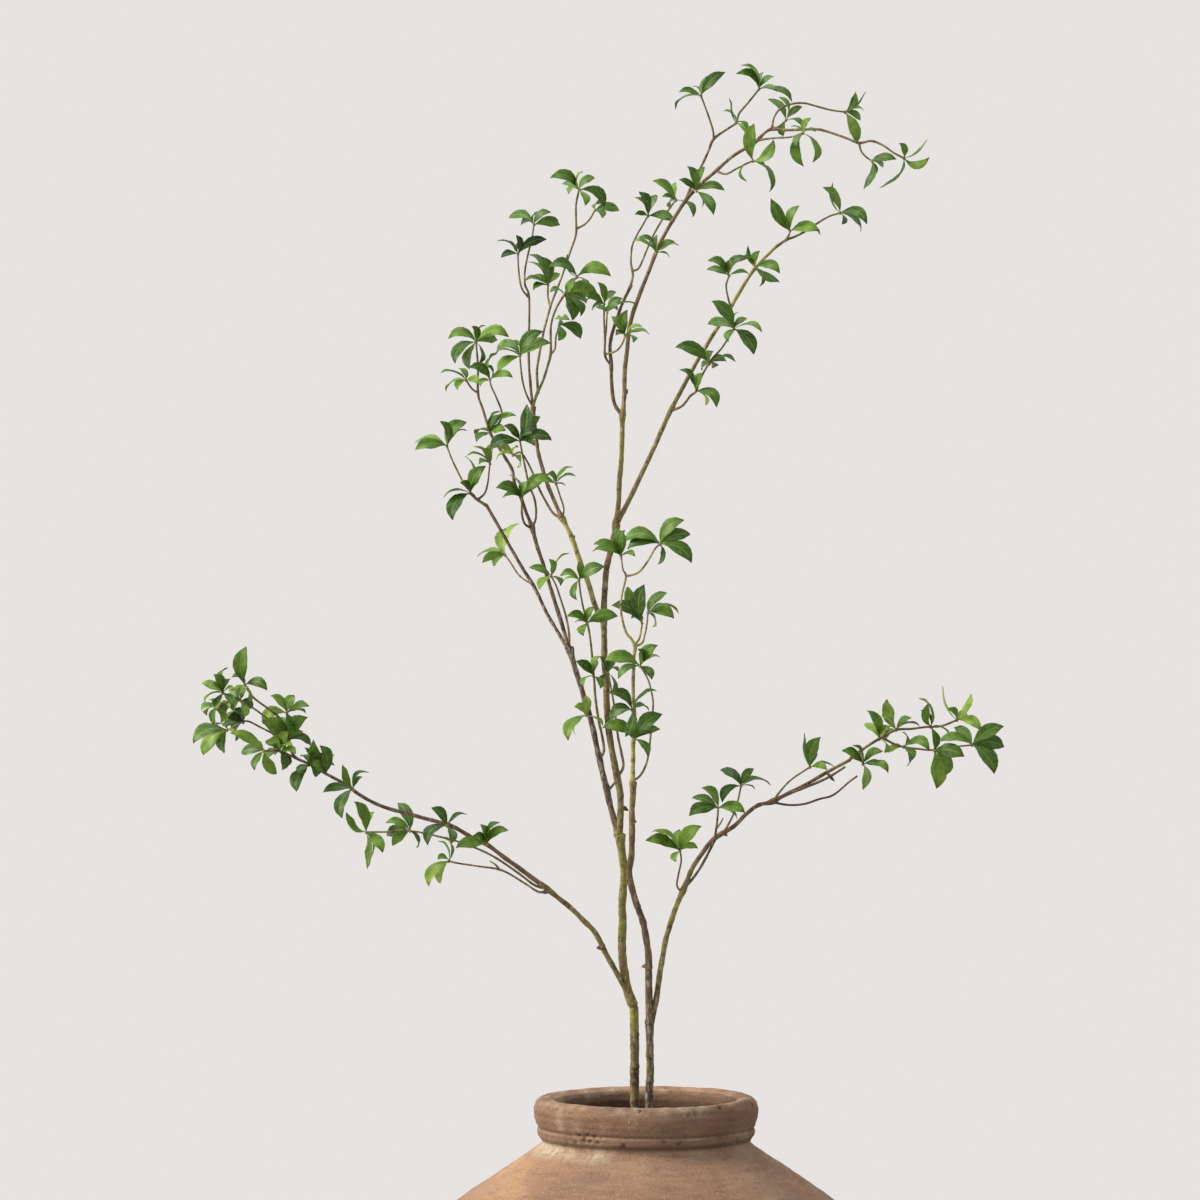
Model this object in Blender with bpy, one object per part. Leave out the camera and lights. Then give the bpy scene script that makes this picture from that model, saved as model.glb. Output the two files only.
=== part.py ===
"""A potted enkianthus: two woody plants with whorls of leaves, in a weathered terracotta jar.

The plan below gives the plants in millimetres as they are seen from the front: across from the
jar's axis, up from the jar's rim, and depth behind the jar's axis. The model itself is in metres,
with +Z up, the front towards -Y and the origin at the middle of the jar's flat base.
"""
import math
import random

import bpy
import numpy as np

MM = 0.001

# Jar, in millimetres above its base
JAR_HEIGHT = 440.0
JAR_STEPS = 32
BELLY_RINGS = 11
SHARP_ANGLE = 35.0
BASE_RADIUS = 120.0
BASE_CHAMFER = 4.0
BELLY = [(120, 4), (158, 38), (200, 92), (233, 155), (250, 215), (250, 258), (236, 294), (212, 318),
         (185, 339)]
COLLAR = [(104.5, 394), (105, 399), (109, 404), (108, 408), (112, 421), (112.5, 430), (110, 437),
          (106, 440)]
MOUTH = [(98, 440), (91, 437.5), (87, 433), (85.5, 427), (86, 418), (90, 402), (90, 394)]
INSIDE = [(170, 332), (224, 290), (235, 240), (200, 115), (138, 32)]
FLOOR_THICKNESS = 16.0

# Soil
SOIL_TOP = 400.0
SOIL_GAP = 0.6
STEM_FOOT = -110.0
STEM_HOLE_GAP = 0.6
STEM_HOLE_SIDES = 16

# The plan is drawn as it is seen from this far in front, at this place across and up
VIEW_DISTANCE = 4600.0
VIEW_ACROSS = -46.0
VIEW_UP = 497.0

# Wood
TRUNK_SIDES = 6
LIMB_SIDES = 4
TWIG_SIDES = 3
THICK_LIMB = 5.0
STUB_SIDES = 3
STRAIGHT_WITHIN = 1.0
STUB_LENGTH = 7.0
JOINT_GAP = 0.3
END_MARGIN = 0.5
SECTION_GUIDE = (0.31, 0.87, 0.11)

# Leaves
FULL_LENGTH = 37.0
SHORTEST_LEAF = 25.0
SLANT = 1.03
SHORT_SLANT = 1.2
LEAF_WIDTH = 0.39
WIDTH_SPREAD = (0.9, 1.1)
LEAF_RIB = 1.5
LEAF_FOLD = 0.08
ROOT_SUNK = 0.4
KNOB_SIZE = 3.6
KNOB_CORNERS = [(0, -1.2, 0), (1.1, 0.5, -0.7), (-1.1, 0.5, -0.7), (0, 0.4, 1.2)]

# A leaf's arch and its bow towards the front, as shares of its length, and how much its face
# looks forward and upward, for leaves seen from their faces and from their edges
BROAD_ARCH = 0.11
EDGE_ARCH = 0.16
FORWARD_BOW = 0.12
BROAD_FACE = (0.9, 0.45)
EDGE_FACE = (0.32, 0.95)

# Where along a leaf its width is set, as shares of its length and of its full width
STATIONS = [(0.47, 0.83), (0.75, 0.94)]

# The ways that a leaf may lean and roll to keep clear of the rest, and how clear it tries to be
LEANS = {0: (-1.0, 1.0, -0.5, 0.5), -1: (-1.0, -0.5, 0.2), 1: (1.0, 0.5, -0.2)}
ROLL = 0.3
MARK_SHARES = (0.2, 0.32, 0.44, 0.58, 0.73, 0.87, 1.0)
MARK_SPACING = 3.0
MARK_REACH = 50.0
CLEARANCE = 5.0
SEED = 11

# Each limb: its diameters at both ends, the depth that it ends at, and the places that it runs
# through, as (across, up). The first limb is the trunk, and each other one grows from those before.
LEFT_TRUNK_DEPTH = 0.0
LEFT_LIMBS = {
    "trunk": (9.6, 7.8, 0, [
        (-11, STEM_FOOT), (-11, 0), (-12.5, 80), (-15, 95), (-18, 110), (-21, 125), (-23, 140),
        (-24, 160), (-24, 185), (-23, 205), (-22, 228), (-24, 245), (-27, 262)]),
    "dark_strand": (6.2, 5.4, 20, [
        (-27, 262), (-31, 275), (-36, 293), (-39, 307), (-42, 320), (-46, 338), (-52, 362), (-58, 385),
        (-66, 412), (-73, 437), (-77, 449)]),
    "middle_strand": (6.8, 5.8, 14, [
        (-27, 262), (-25, 277), (-25, 300), (-28, 318), (-31, 333), (-35, 352), (-38, 378), (-40, 408),
        (-42, 440), (-42.5, 478), (-41, 505), (-40, 527), (-35, 548), (-30, 573)]),
    "strut": (2.6, 2.4, 1, [(-39, 306), (-35, 310), (-29, 317)]),
    "outer_branch": (3.8, 3.2, 34, [
        (-77, 449), (-84, 458), (-97, 480), (-107, 501), (-113, 513), (-124, 530), (-137, 552), (-150, 575),
        (-160, 592)]),
    "inner_branch": (4.4, 3.8, 25, [
        (-77, 449), (-83, 470), (-91, 495), (-99, 520), (-107, 545), (-114, 569)]),
    "inner_tip": (3.6, 3.2, 32, [
        (-114, 569), (-119, 583), (-125, 600), (-131, 613), (-134, 628), (-142, 641), (-151, 655)]),
    "yellow_branch": (5.6, 4.6, -5, [
        (-43, 476), (-50, 490), (-57, 511), (-64, 530), (-71, 550), (-77, 565), (-84, 579)]),
    "upper_left_branch": (4.2, 3.6, 22, [
        (-84, 579), (-92, 598), (-98, 612), (-104, 631), (-109, 652), (-113, 690)]),
    "olive_limb": (5.2, 4.6, 0, [(-30, 573), (-28, 592), (-25, 635), (-23, 681)]),
    "right_limb": (5.2, 3.2, 78, [
        (-30, 573), (-20, 590), (-10, 611), (6, 645), (22, 680), (36, 708), (52, 738), (68, 763), (84, 788),
        (100, 815), (112, 832), (130, 850)]),
    "top_limb": (4.6, 3.2, -58, [
        (-23, 681), (-22, 702), (-20, 740), (-15, 775), (-6, 803), (4, 828), (14, 853), (27, 877), (42, 900),
        (57, 915), (70, 926), (90, 943), (107, 953), (113, 958)]),
    "short_limb": (3.8, 3.0, -5, [
        (-23, 681), (-31, 692), (-34, 708), (-35, 733), (-36, 752), (-31, 772), (-24, 793), (-15, 812)]),
    "low_branch": (5.8, 3.2, -76, [
        (-16, 99), (-22, 112), (-33, 132), (-43, 149), (-52, 166), (-65, 179), (-80, 193), (-97, 207),
        (-114, 219), (-130, 231), (-156, 250), (-174, 259), (-193, 270), (-214, 277), (-237, 283),
        (-256, 288), (-272, 294), (-288, 303), (-304, 315)]),
}
RIGHT_TRUNK_DEPTH = -12.0
RIGHT_LIMBS = {
    "trunk": (8.8, 5.6, -22, [
        (3, STEM_FOOT), (3, 0), (4, 40), (4, 75), (3, 97), (2, 127), (2, 149), (-2, 169), (-8, 189),
        (-13.5, 207), (-17, 224), (-15, 242), (-14, 261), (-13.5, 290), (-13.5, 315)]),
    "upper_stem": (4.6, 3.4, -40, [(-13.5, 315), (-13.5, 337), (-12, 372), (-13, 415), (-12, 442)]),
    "low_branch": (6.2, 3.2, 38, [
        (4, 75), (10, 97), (14, 127), (19, 153), (25.5, 175), (32, 195), (36, 205), (41, 216), (47, 230),
        (58, 247), (69, 259), (88, 271), (99, 282), (112, 292), (127, 296), (158, 311.5), (181, 325),
        (204, 337.5)]),
    "twin_strand": (2.8, 2.8, 12, [(37, 208), (50, 223), (59, 238), (70, 260)]),
    "second_strand": (3.0, 2.4, 30, [(128, 297), (142, 303), (165, 312), (181, 319), (199, 330)]),
    "lower_twig": (2.4, 2.0, 50, [(124, 296), (142, 292), (158, 293), (173, 298), (187, 302), (203, 315),
                                  (211, 321)]),
}

# Each spray: the plant that it grows on, its twigs and its whorls of leaves. A twig has the same
# fields as a limb, and the first one grows from the wood. A whorl has its place, the way that its
# leaves lean (-1 forward, 1 back, 0 by turns), and the tips of the leaves that are seen from their
# faces and from their edges. A third number is how far the leaf arches up, in millimetres.
SPRAYS = {
    "spray_top_left": ("left", [
        (3.0, 2.0, -12, [(40, 897), (44, 907), (50, 920), (62, 945), (68, 958), (80, 967), (90, 974),
                         (93, 983), (101, 993), (113, 1008)]),
        (2.2, 1.8, -30, [(68, 958), (67, 967), (63, 980), (58, 993), (55, 1001)]),
    ], [
        (55, 1001, 0, [(33, 1006), (79, 1025), (47, 1012)], [(27, 989), (69, 1024)]),
        (113, 1008, 0, [(90, 1024, 8), (129, 1022), (117, 1026)], [(95, 1033, 8), (148, 996), (131, 1006)]),
        (90, 974, 0, [(108, 957)], [(86, 999, -3), (78, 987), (101, 969)]),
    ]),
    "spray_top_right": ("left", [
        (3.0, 2.0, -88, [(113, 958), (120, 965), (127, 968), (140, 967), (168, 968), (180, 966), (200, 959),
                         (213, 954), (225, 956), (236, 952), (248, 944), (258, 939)]),
        (2.2, 2.0, -46, [(129, 968), (135, 972), (140, 977)]),
        (2.2, 1.8, -38, [(126, 968), (128, 979), (134, 988), (145, 993), (158, 994), (170, 991), (185, 987),
                         (199, 985)]),
        (2.2, 1.8, -80, [(213, 954), (215, 946), (220, 940), (226, 936)]),
    ], [
        (140, 977, 0, [(121, 1000), (157, 991), (137, 959)], [(134, 1002), (158, 970)]),
        (200, 985, 0, [(211, 953, 3), (216, 976), (209, 1005, -4)], [(219, 988), (218, 1007, -5), (205, 961)]),
        (226, 936, 0, [(217, 909, -5), (238, 929), (250, 938), (228, 921)], [(243, 941)]),
        (259, 939, 0, [(254, 954), (283, 940, -8)], [(280, 959, -5), (232, 912, -9), (244, 918, -6)]),
    ]),
    "spray_top_middle": ("left", [
        (2.2, 1.8, -82, [(105, 952), (115, 957), (130, 959), (145, 960), (157, 964)]),
    ], [
        (157, 965, 0, [(164, 979), (158, 931, -9), (150, 950)], [(170, 966), (168, 934, 8), (145, 971)]),
    ]),
    "spray_top_low": ("left", [
        (2.2, 1.8, -72, [(70, 926), (80, 923), (90, 928), (100, 933), (107, 936)]),
    ], [
        (108, 937, -1, [(108, 974), (127, 957, -6), (120, 930)], [(100, 914, 9), (125, 904, 9)]),
    ]),
    "spray_top_limb": ("left", [
        (2.4, 2.2, -60, [(49, 906), (50, 906)]),
    ], [
        (50, 906, -1, [(42, 931), (59, 931), (68, 883), (80, 907, 5), (33, 918)], [(57, 889)]),
    ]),
    "spray_top_limb_low": ("left", [
        (2.4, 2.2, -46, [(9, 841), (10, 844)]),
    ], [
        (10, 844, -1, [(28, 856), (11, 863)], [(-7, 862), (-14, 857), (34, 853), (25, 840)]),
    ]),
    "spray_short_limb": ("left", [
        (2.4, 1.8, 2, [(-15, 812), (-13, 822), (-15, 834), (-14, 850), (-9, 862), (-3, 872), (2, 881)]),
        (2.2, 1.8, 6, [(-13.5, 826), (-7, 829), (0, 845), (7, 861), (15, 875), (24, 889), (30, 897)]),
    ], [
        (30, 898, 0, [(7, 917), (30, 916), (16, 901)], [(24, 889), (48, 880, 6)]),
        (2, 881, 0, [(-6, 906), (12, 903), (-11, 883), (29, 876)], [(-11, 901)]),
    ]),
    "spray_upper_centre": ("left", [
        (2.4, 1.8, -12, [(-35, 731), (-41, 741), (-41, 757), (-42, 775), (-42, 793)]),
        (2.2, 1.8, -24, [(-41, 757), (-40, 766), (-39, 784)]),
        (2.2, 1.8, -36, [(-38, 743), (-30, 746), (-24, 753), (-21, 761)]),
    ], [
        (-42, 793, 0, [(-48, 815), (-29, 806), (-63, 803), (-55, 787)], [(-62, 797)]),
        (-39, 784, 0, [(-24, 799), (-51, 791)], [(-7, 793), (-28, 788)]),
        (-21, 761, -1, [(-19, 787), (-35, 781), (-30, 763)], [(-3, 772), (5, 764), (-12, 755)]),
    ]),
    "spray_right_limb_tip": ("left", [
        (2.8, 1.8, 84, [(130, 850), (140, 857), (150, 861), (161, 867), (173, 875), (184, 881), (194, 884)]),
        (2.4, 2.0, 74, [(140, 857), (143, 862), (144, 866)]),
    ], [
        (144, 866, 0, [(126, 899, -3), (125, 882), (152, 892), (173, 867)], [(177, 864)]),
        (194, 884, 0, [(178, 911), (221, 873, 8), (197, 873)], [(189, 915, -7), (216, 865)]),
    ]),
    "spray_right_limb_whorl": ("left", [
        (2.4, 2.2, 56, [(108, 828), (109, 830)]),
    ], [
        (109, 830, -1, [(134, 824, 6), (134, 816, -3), (113, 846)], [(103, 852, -4), (97, 842), (114, 809, 6)]),
    ]),
    "spray_right_limb_twig": ("left", [
        (2.2, 1.8, 34, [(85, 790), (82, 799), (80, 811), (83, 821)]),
    ], [
        (84, 822, -1, [(62, 838, 5), (60, 828), (104, 839, 8), (87, 838)], [(104, 823)]),
    ]),
    "spray_right_limb_low": ("left", [
        (2.8, 1.8, 10, [(26, 686), (36, 691), (44, 701), (50, 706), (53, 716), (59, 727), (66, 738), (75, 748),
                        (83, 760), (88, 768)]),
    ], [
        (88, 768, 0, [(66, 797), (60, 774), (102, 779), (108, 743, 5), (82, 756)], [(117, 766, 6), (92, 787)]),
        (61, 735, 0, [(29, 751, 6), (66, 746), (55, 727), (82, 736, 4)], [(91, 737), (50, 748), (67, 730)]),
        (50, 706, 0, [(57, 724), (44, 720), (71, 690, 8)], [(34, 729), (61, 692, 4)]),
    ]),
    "spray_upper_left_thin": ("left", [
        (2.2, 1.8, 8, [(-113, 690), (-119, 701), (-123, 713), (-125, 728), (-126, 741)]),
    ], [
        (-126, 741, 0, [(-103, 766, 6), (-95, 755), (-151, 749, 8), (-149, 726)], [(-152, 746, 4), (-133, 757)]),
    ]),
    "spray_upper_left_straight": ("left", [
        (3.0, 1.8, 42, [(-113, 690), (-115, 706), (-117, 740), (-117, 798), (-121, 812), (-121, 826),
                        (-118, 842), (-114, 858), (-112, 872)]),
        (2.2, 1.8, 30, [(-117, 800), (-124, 808), (-127, 822), (-128, 843)]),
    ], [
        (-112, 873, 0, [(-95, 885, 5), (-84, 872), (-139, 879, 7)], [(-125, 873), (-107, 886)]),
        (-128, 844, 0, [(-129, 862), (-145, 840), (-98, 858, 5)], [(-149, 857), (-123, 857)]),
    ]),
    "spray_upper_left": ("left", [
        (3.0, 2.2, 4, [(-113, 690), (-109, 703), (-103, 716), (-98, 732), (-95, 745), (-95, 770), (-91, 786),
                       (-86, 796), (-82, 802)]),
        (2.8, 2.0, -12, [(-109, 704), (-109, 725), (-107, 740), (-104, 757), (-100, 774), (-94, 795), (-88, 811),
                         (-82, 827), (-76, 845), (-70, 863), (-70, 880), (-70, 893), (-67, 907)]),
        (2.2, 1.8, 4, [(-68, 868), (-62, 872), (-56, 878), (-51, 887)]),
        (2.0, 1.8, 0, [(-95, 742), (-91, 748), (-90, 760), (-87, 772)]),
        (2.2, 2.0, 22, [(-96, 790), (-98, 800), (-98, 812)]),
        (2.2, 2.0, -16, [(-84, 800), (-77, 810), (-69, 820)]),
    ], [
        (-67, 908, 0, [(-96, 920, 8), (-50, 920, 4), (-60, 892), (-41, 889, 9), (-85, 914)],
         [(-64, 927), (-78, 904)]),
        (-50, 888, 0, [(-25, 887, 3), (-43, 880)], [(-44, 894)]),
        (-98, 812, 0, [(-104, 841), (-113, 808), (-116, 821), (-85, 824)],
         [(-117, 845), (-119, 837), (-122, 817)]),
        (-69, 821, 0, [(-35, 821, 9), (-97, 832, 7), (-78, 803)], [(-76, 843, -7), (-60, 808)]),
        (-82, 802, 0, [(-48, 802, 8), (-57, 794), (-73, 777, 4)], [(-64, 781), (-96, 806)]),
        (-86, 773, 0, [(-87, 757), (-64, 757, 6)], [(-90, 779), (-77, 778)]),
    ]),
    "spray_left_olive": ("left", [
        (2.8, 2.0, 14, [(-84, 579), (-93, 584), (-102, 599), (-108, 611), (-114, 626), (-120, 638), (-126, 645),
                        (-133, 642)]),
    ], [
        (-134, 642, 0, [(-147, 650), (-128, 651)], [(-151, 637, 5), (-127, 629)]),
    ]),
    "spray_left_thin": ("left", [
        (2.2, 1.8, -20, [(-84, 579), (-82, 588), (-86, 601), (-90, 613)]),
    ], [
        (-90, 614, -1, [(-113, 615, 4), (-98, 624)], [(-73, 632, 4), (-70, 622), (-80, 611)]),
    ]),
    "spray_left_dark": ("left", [
        (2.6, 2.0, -10, [(-114, 569), (-110, 579), (-111, 596), (-117, 612), (-122, 634), (-126, 656)]),
    ], [
        (-126, 657, -1, [(-120, 693, -4), (-105, 681), (-93, 657, 6), (-157, 648, 5), (-142, 672), (-111, 652)],
         [(-113, 664)]),
    ]),
    "spray_left_front": ("left", [
        (2.6, 2.2, 8, [(-114, 569), (-121, 573), (-124, 583), (-124, 599)]),
    ], [
        (-124, 600, -1, [(-150, 610, 5), (-97, 623, 4), (-118, 615)], [(-145, 600, 4), (-137, 624, 4)]),
    ]),
    "spray_left_cluster": ("left", [
        (3.0, 2.0, 46, [(-151, 655), (-156, 664), (-159, 674), (-164, 690), (-168, 703), (-168, 733),
                        (-170, 755)]),
        (2.2, 1.8, 36, [(-168, 704), (-174, 708), (-180, 717)]),
        (2.2, 1.8, 18, [(-156, 664), (-147, 674), (-144, 684), (-150, 700), (-155, 711), (-156, 717)]),
    ], [
        (-156, 664, 0, [(-170, 656), (-141, 667), (-144, 683)], [(-172, 662, 5), (-146, 688), (-130, 683)]),
        (-170, 755, 0, [(-198, 759, 8), (-173, 771), (-147, 757), (-136, 761, 8), (-192, 734, 7), (-178, 728)],
         [(-161, 773), (-166, 733)]),
        (-180, 718, 0, [(-189, 708), (-188, 730), (-167, 714)], [(-206, 726, 4), (-201, 706, 5)]),
        (-156, 717, 0, [(-177, 730, 6), (-133, 720, 5), (-166, 712)], [(-150, 746), (-158, 732)]),
    ]),
    "spray_left_outer": ("left", [
        (3.0, 2.2, 26, [(-160, 592), (-168, 597), (-176, 604)]),
        (2.4, 1.8, 50, [(-172, 600), (-181, 612), (-190, 629), (-195, 640), (-199, 651)]),
        (2.2, 1.8, 12, [(-168, 597), (-161, 604), (-158, 615), (-157, 625), (-156, 633)]),
    ], [
        (-199, 652, 0, [(-205, 677, 5), (-178, 676, 7), (-231, 648)], [(-233, 656, 5), (-178, 669, 5)]),
        (-176, 604, 0, [(-194, 577, 7), (-161, 631), (-185, 615)], [(-204, 600, 5), (-180, 643)]),
        (-156, 634, -1, [(-167, 634), (-153, 655), (-164, 649)], [(-180, 643, 5), (-173, 652)]),
    ]),
    "spray_left_back": ("left", [
        (2.2, 1.8, 48, [(-113, 513), (-121, 517), (-128, 523), (-134, 532), (-141, 542)]),
    ], [
        (-141, 542, 1, [(-140, 571, 5), (-164, 534, 4), (-154, 530)], [(-170, 542, 4), (-127, 575)]),
    ]),
    "spray_left_right_twig": ("left", [
        (2.6, 1.8, 4, [(-77, 449), (-77, 462), (-80, 480), (-85, 497), (-90, 512), (-95, 521)]),
    ], [
        (-95, 521, -1, [(-96, 538), (-118, 530), (-107, 508), (-85, 512)], [(-77, 546, 4)]),
    ]),
    "spray_inner_left": ("left", [
        (3.0, 2.0, -22, [(-46, 338), (-42, 346), (-44, 362), (-47, 375), (-50, 395), (-52, 421), (-54, 440),
                         (-57, 466), (-62, 485), (-65, 501), (-67, 517)]),
    ], [
        (-67, 517, -1, [(-86, 522, 5), (-70, 497, 4), (-42, 531, 3), (-68, 536)], [(-84, 517)]),
        (-58, 474, -1, [(-79, 481, 5), (-52, 490), (-63, 462), (-28, 481, 4)], [(-72, 475)]),
        (-52, 421, 0, [(-70, 436), (-48, 438), (-45, 409)], [(-64, 411), (-46, 442)]),
    ]),
    "spray_inner_left_low": ("left", [
        (2.4, 2.2, -2, [(-58, 384), (-60, 382)]),
    ], [
        (-60, 382, -1, [(-71, 391), (-79, 357, 6), (-61, 403)], [(-72, 362, 5), (-42, 372, 2)]),
    ]),
    "spray_inner_olive": ("left", [
        (3.0, 2.0, -4, [(-28, 320), (-23, 330), (-25, 345), (-28, 362), (-33, 398), (-38, 424)]),
    ], [
        (-38, 424, -1, [(-46, 441), (-28, 440), (-48, 411)], [(-33, 405), (-27, 427)]),
    ]),
    "spray_right_crown": ("right", [
        (3.0, 1.8, -58, [(-12, 442), (-11, 450), (-15, 458), (-20, 464), (-24, 480), (-25, 492), (-24, 503),
                         (-20, 521), (-23, 527), (-25, 541)]),
        (2.2, 1.8, -50, [(-20, 521), (-14, 522), (-6, 526), (3, 538), (9, 548), (14, 553)]),
        (2.2, 1.8, -34, [(-11.5, 452), (-7, 458), (-5, 467), (-4, 474)]),
        (2.2, 1.8, -42, [(-11, 451), (-4, 454), (-1, 464), (1, 475), (2, 484)]),
    ], [
        (-25, 541, -1, [(-52, 554, 4), (-32, 570), (-22, 567), (-11, 542)], [(-55, 547, 4)]),
        (14, 553, 0, [(-24, 556, 9), (-21, 549, 5), (38, 578, 6), (46, 563), (46, 534, 7), (10, 533, -6)],
         [(28, 561)]),
        (-4, 474, 0, [(-35, 492, 7), (-18, 512, -3), (-2, 513)], [(-15, 480)]),
        (2, 484, 0, [(28, 479, 6), (22, 506, 4), (10, 495)], [(34, 485, 8), (8, 470)]),
    ]),
    "spray_right_twig": ("right", [
        (2.4, 2.0, -26, [(-13, 316), (-6, 321), (0, 332), (3, 345), (5, 365), (7, 385)]),
        (2.0, 1.8, -60, [(7, 383), (7, 397), (3, 415), (-3, 427), (-6, 431)]),
    ], [
        (-6, 431, -1, [(-42, 437, 6), (-29, 418, 5), (11, 452), (6, 418)], [(15, 441, 4), (-7, 449)]),
    ]),
    "spray_right_stem_low": ("right", [
        (2.6, 2.4, -40, [(-13, 353), (-11, 358)]),
    ], [
        (-11, 358, -1, [(-44, 370, 7), (16, 384), (15, 369), (2, 341, 4), (-21, 366)], [(-3, 376)]),
    ]),
    "spray_right_stem_high": ("right", [
        (2.6, 2.4, -52, [(-12.5, 384), (-14, 387)]),
    ], [
        (-14, 387, 0, [(-38, 405, 7), (-21, 361, -4), (-35, 390), (-38, 376, 5)], [(11, 408, 5), (4, 387, 5)]),
    ]),
    "spray_low_left_fork": ("left", [
        (2.4, 2.2, -62, [(-160, 252), (-159, 253)]),
    ], [
        (-159, 253, -1, [(-165, 273), (-157, 271), (-138, 268, 5), (-190, 250, 3), (-172, 262)], [(-147, 276)]),
    ]),
    "spray_low_left_twig": ("left", [
        (2.4, 1.8, -16, [(-98, 207), (-107, 205), (-122, 214), (-145, 227), (-170, 231), (-190, 234),
                         (-197, 236)]),
        (2.2, 1.4, -18, [(-146, 227), (-150, 232), (-156, 236)]),
    ], [
        (-197, 236, 0, [(-218, 211, 6), (-206, 212, 5), (-208, 239)], [(-202, 262), (-207, 258)]),
    ]),
    "spray_low_left_middle": ("left", [
        (2.4, 2.2, -78, [(-200, 272), (-199, 271)]),
    ], [
        (-199, 270, -1, [(-214, 290), (-219, 252, 8), (-194, 254)], [(-178, 284, 4), (-223, 256, 6)]),
    ]),
    "spray_low_left_strand": ("left", [
        (2.6, 1.8, -34, [(-99, 208), (-112, 212), (-132, 227), (-153, 241), (-173, 250), (-193, 257), (-222, 264),
                         (-236, 266), (-260, 265), (-280, 265)]),
    ], [
        (-236, 266, 1, [(-261, 275, 5), (-261, 261), (-254, 251), (-249, 296)], [(-228, 248)]),
        (-280, 265, 0, [(-291, 296), (-298, 285, -6), (-272, 287), (-263, 245, 3)],
         [(-281, 228, -5), (-276, 238)]),
    ]),
    "spray_low_left_node": ("left", [
        (2.6, 2.2, -88, [(-292, 306), (-293, 308)]),
    ], [
        (-293, 308, -1, [(-302, 332, -3), (-284, 321), (-324, 305), (-305, 279, 6)], [(-276, 326, 7)]),
    ]),
    "spray_far_left": ("left", [
        (3.2, 2.2, -84, [(-304, 315), (-319, 323), (-337, 333), (-350, 339), (-356, 350), (-358, 366),
                        (-359, 384)]),
        (2.4, 2.0, -104, [(-350, 339), (-366, 346), (-382, 346)]),
        (2.6, 2.0, -92, [(-358, 366), (-368, 381), (-390, 397), (-396, 404), (-401, 412)]),
        (2.2, 1.8, -112, [(-357, 358), (-370, 371), (-382, 381), (-402, 395), (-412, 400), (-423, 404)]),
        (2.2, 1.8, -104, [(-410, 399), (-420, 395), (-429, 390)]),
        (2.2, 1.8, -70, [(-357, 354), (-370, 362), (-384, 369), (-400, 376), (-410, 371), (-419, 367)]),
    ], [
        (-320, 324, 0, [(-331, 357, -7), (-335, 334)], [(-312, 343, 3)]),
        (-337, 332, 0, [(-346, 343), (-328, 343), (-351, 306, 4)], [(-352, 318, 3)]),
        (-357, 357, 0, [(-339, 380, 5), (-334, 351, 6), (-372, 372), (-378, 353)], []),
        (-359, 384, 0, [(-375, 402), (-351, 403), (-337, 392, 3), (-385, 372, 7), (-356, 358)], [(-340, 385, 3)]),
        (-366, 346, 0, [(-382, 356), (-363, 327), (-350, 344)], [(-371, 362)]),
        (-382, 346, 0, [(-416, 366, 3), (-392, 327), (-368, 323, -4), (-406, 343)], [(-400, 357)]),
        (-401, 412, 0, [(-400, 451, 5), (-379, 407, 6), (-410, 398)], [(-414, 421), (-399, 395)]),
        (-405, 397, 0, [(-421, 398, 3), (-403, 380), (-412, 386)], [(-402, 409)]),
        (-423, 404, 0, [(-432, 423), (-415, 420), (-445, 414)], [(-419, 432), (-443, 394, 5)]),
        (-429, 390, 0, [(-445, 388, 3), (-432, 371), (-418, 384)], [(-440, 382)]),
        (-419, 367, 0, [(-454, 354, 7), (-444, 341, 5), (-423, 342)], [(-409, 356), (-431, 372)]),
        (-403, 375, 0, [(-418, 379, 3)], [(-413, 386)]),
    ]),
    "spray_low_right_fork": ("right", [
        (2.2, 1.8, -12, [(36, 205), (31, 211), (32, 221), (35, 236), (34, 246)]),
    ], [
        (34, 246, 0, [(-1, 258), (34, 269), (55, 271, 5), (53, 249, 4), (29, 236)], [(6, 267)]),
    ]),
    "spray_low_right_near": ("right", [
        (2.4, 2.0, -10, [(69, 259), (71, 275), (72, 289)]),
        (2.2, 1.4, -6, [(70, 268), (74, 273), (77, 279)]),
    ], [
        (72, 290, -1, [(56, 310, 5), (45, 300), (43, 282, 4), (99, 285, 4)], [(93, 278)]),
    ]),
    "spray_low_right_up": ("right", [
        (2.2, 1.8, 16, [(77, 265), (83, 274), (88, 284), (92, 297), (95, 311)]),
    ], [
        (96, 312, 1, [(73, 329), (108, 329), (76, 294, 7), (84, 323)], [(126, 313, 6), (110, 308)]),
    ]),
    "spray_low_right_middle": ("right", [
        (2.2, 1.8, -8, [(127, 296), (133, 304), (145, 317), (164, 330)]),
    ], [
        (164, 330, -1, [(174, 360), (181, 328), (172, 344)], [(161, 364, -5), (190, 330)]),
    ]),
    "spray_low_right_far": ("right", [
        (3.0, 2.0, 52, [(204, 337.5), (213, 345), (226, 354), (236, 360), (250, 367), (265, 368), (279, 370),
                        (295, 371), (311, 377)]),
        (2.4, 2.0, 26, [(213, 345), (216, 340), (217, 333)]),
        (2.4, 1.8, 26, [(236, 360), (246, 354), (258, 350), (274, 348), (288, 347), (306, 350), (326, 352)]),
    ], [
        (217, 333, -1, [(196, 347), (237, 347, 4), (238, 331), (216, 308, -5)], [(243, 325), (207, 353)]),
        (233, 359, 0, [(222, 387), (217, 374), (244, 371)], [(240, 344)]),
        (250, 368, 0, [(243, 399, -5), (265, 380), (236, 357)], [(235, 381), (274, 372)]),
        (258, 350, 0, [(240, 344), (267, 338), (284, 347, 8)], [(262, 330), (257, 366)]),
        (285, 370, 0, [(283, 393, -5), (289, 347)], [(274, 401), (304, 362, 4), (275, 388)]),
        (288, 347, 0, [(291, 308, 3), (299, 319, 7), (318, 341, 3)], []),
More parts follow.
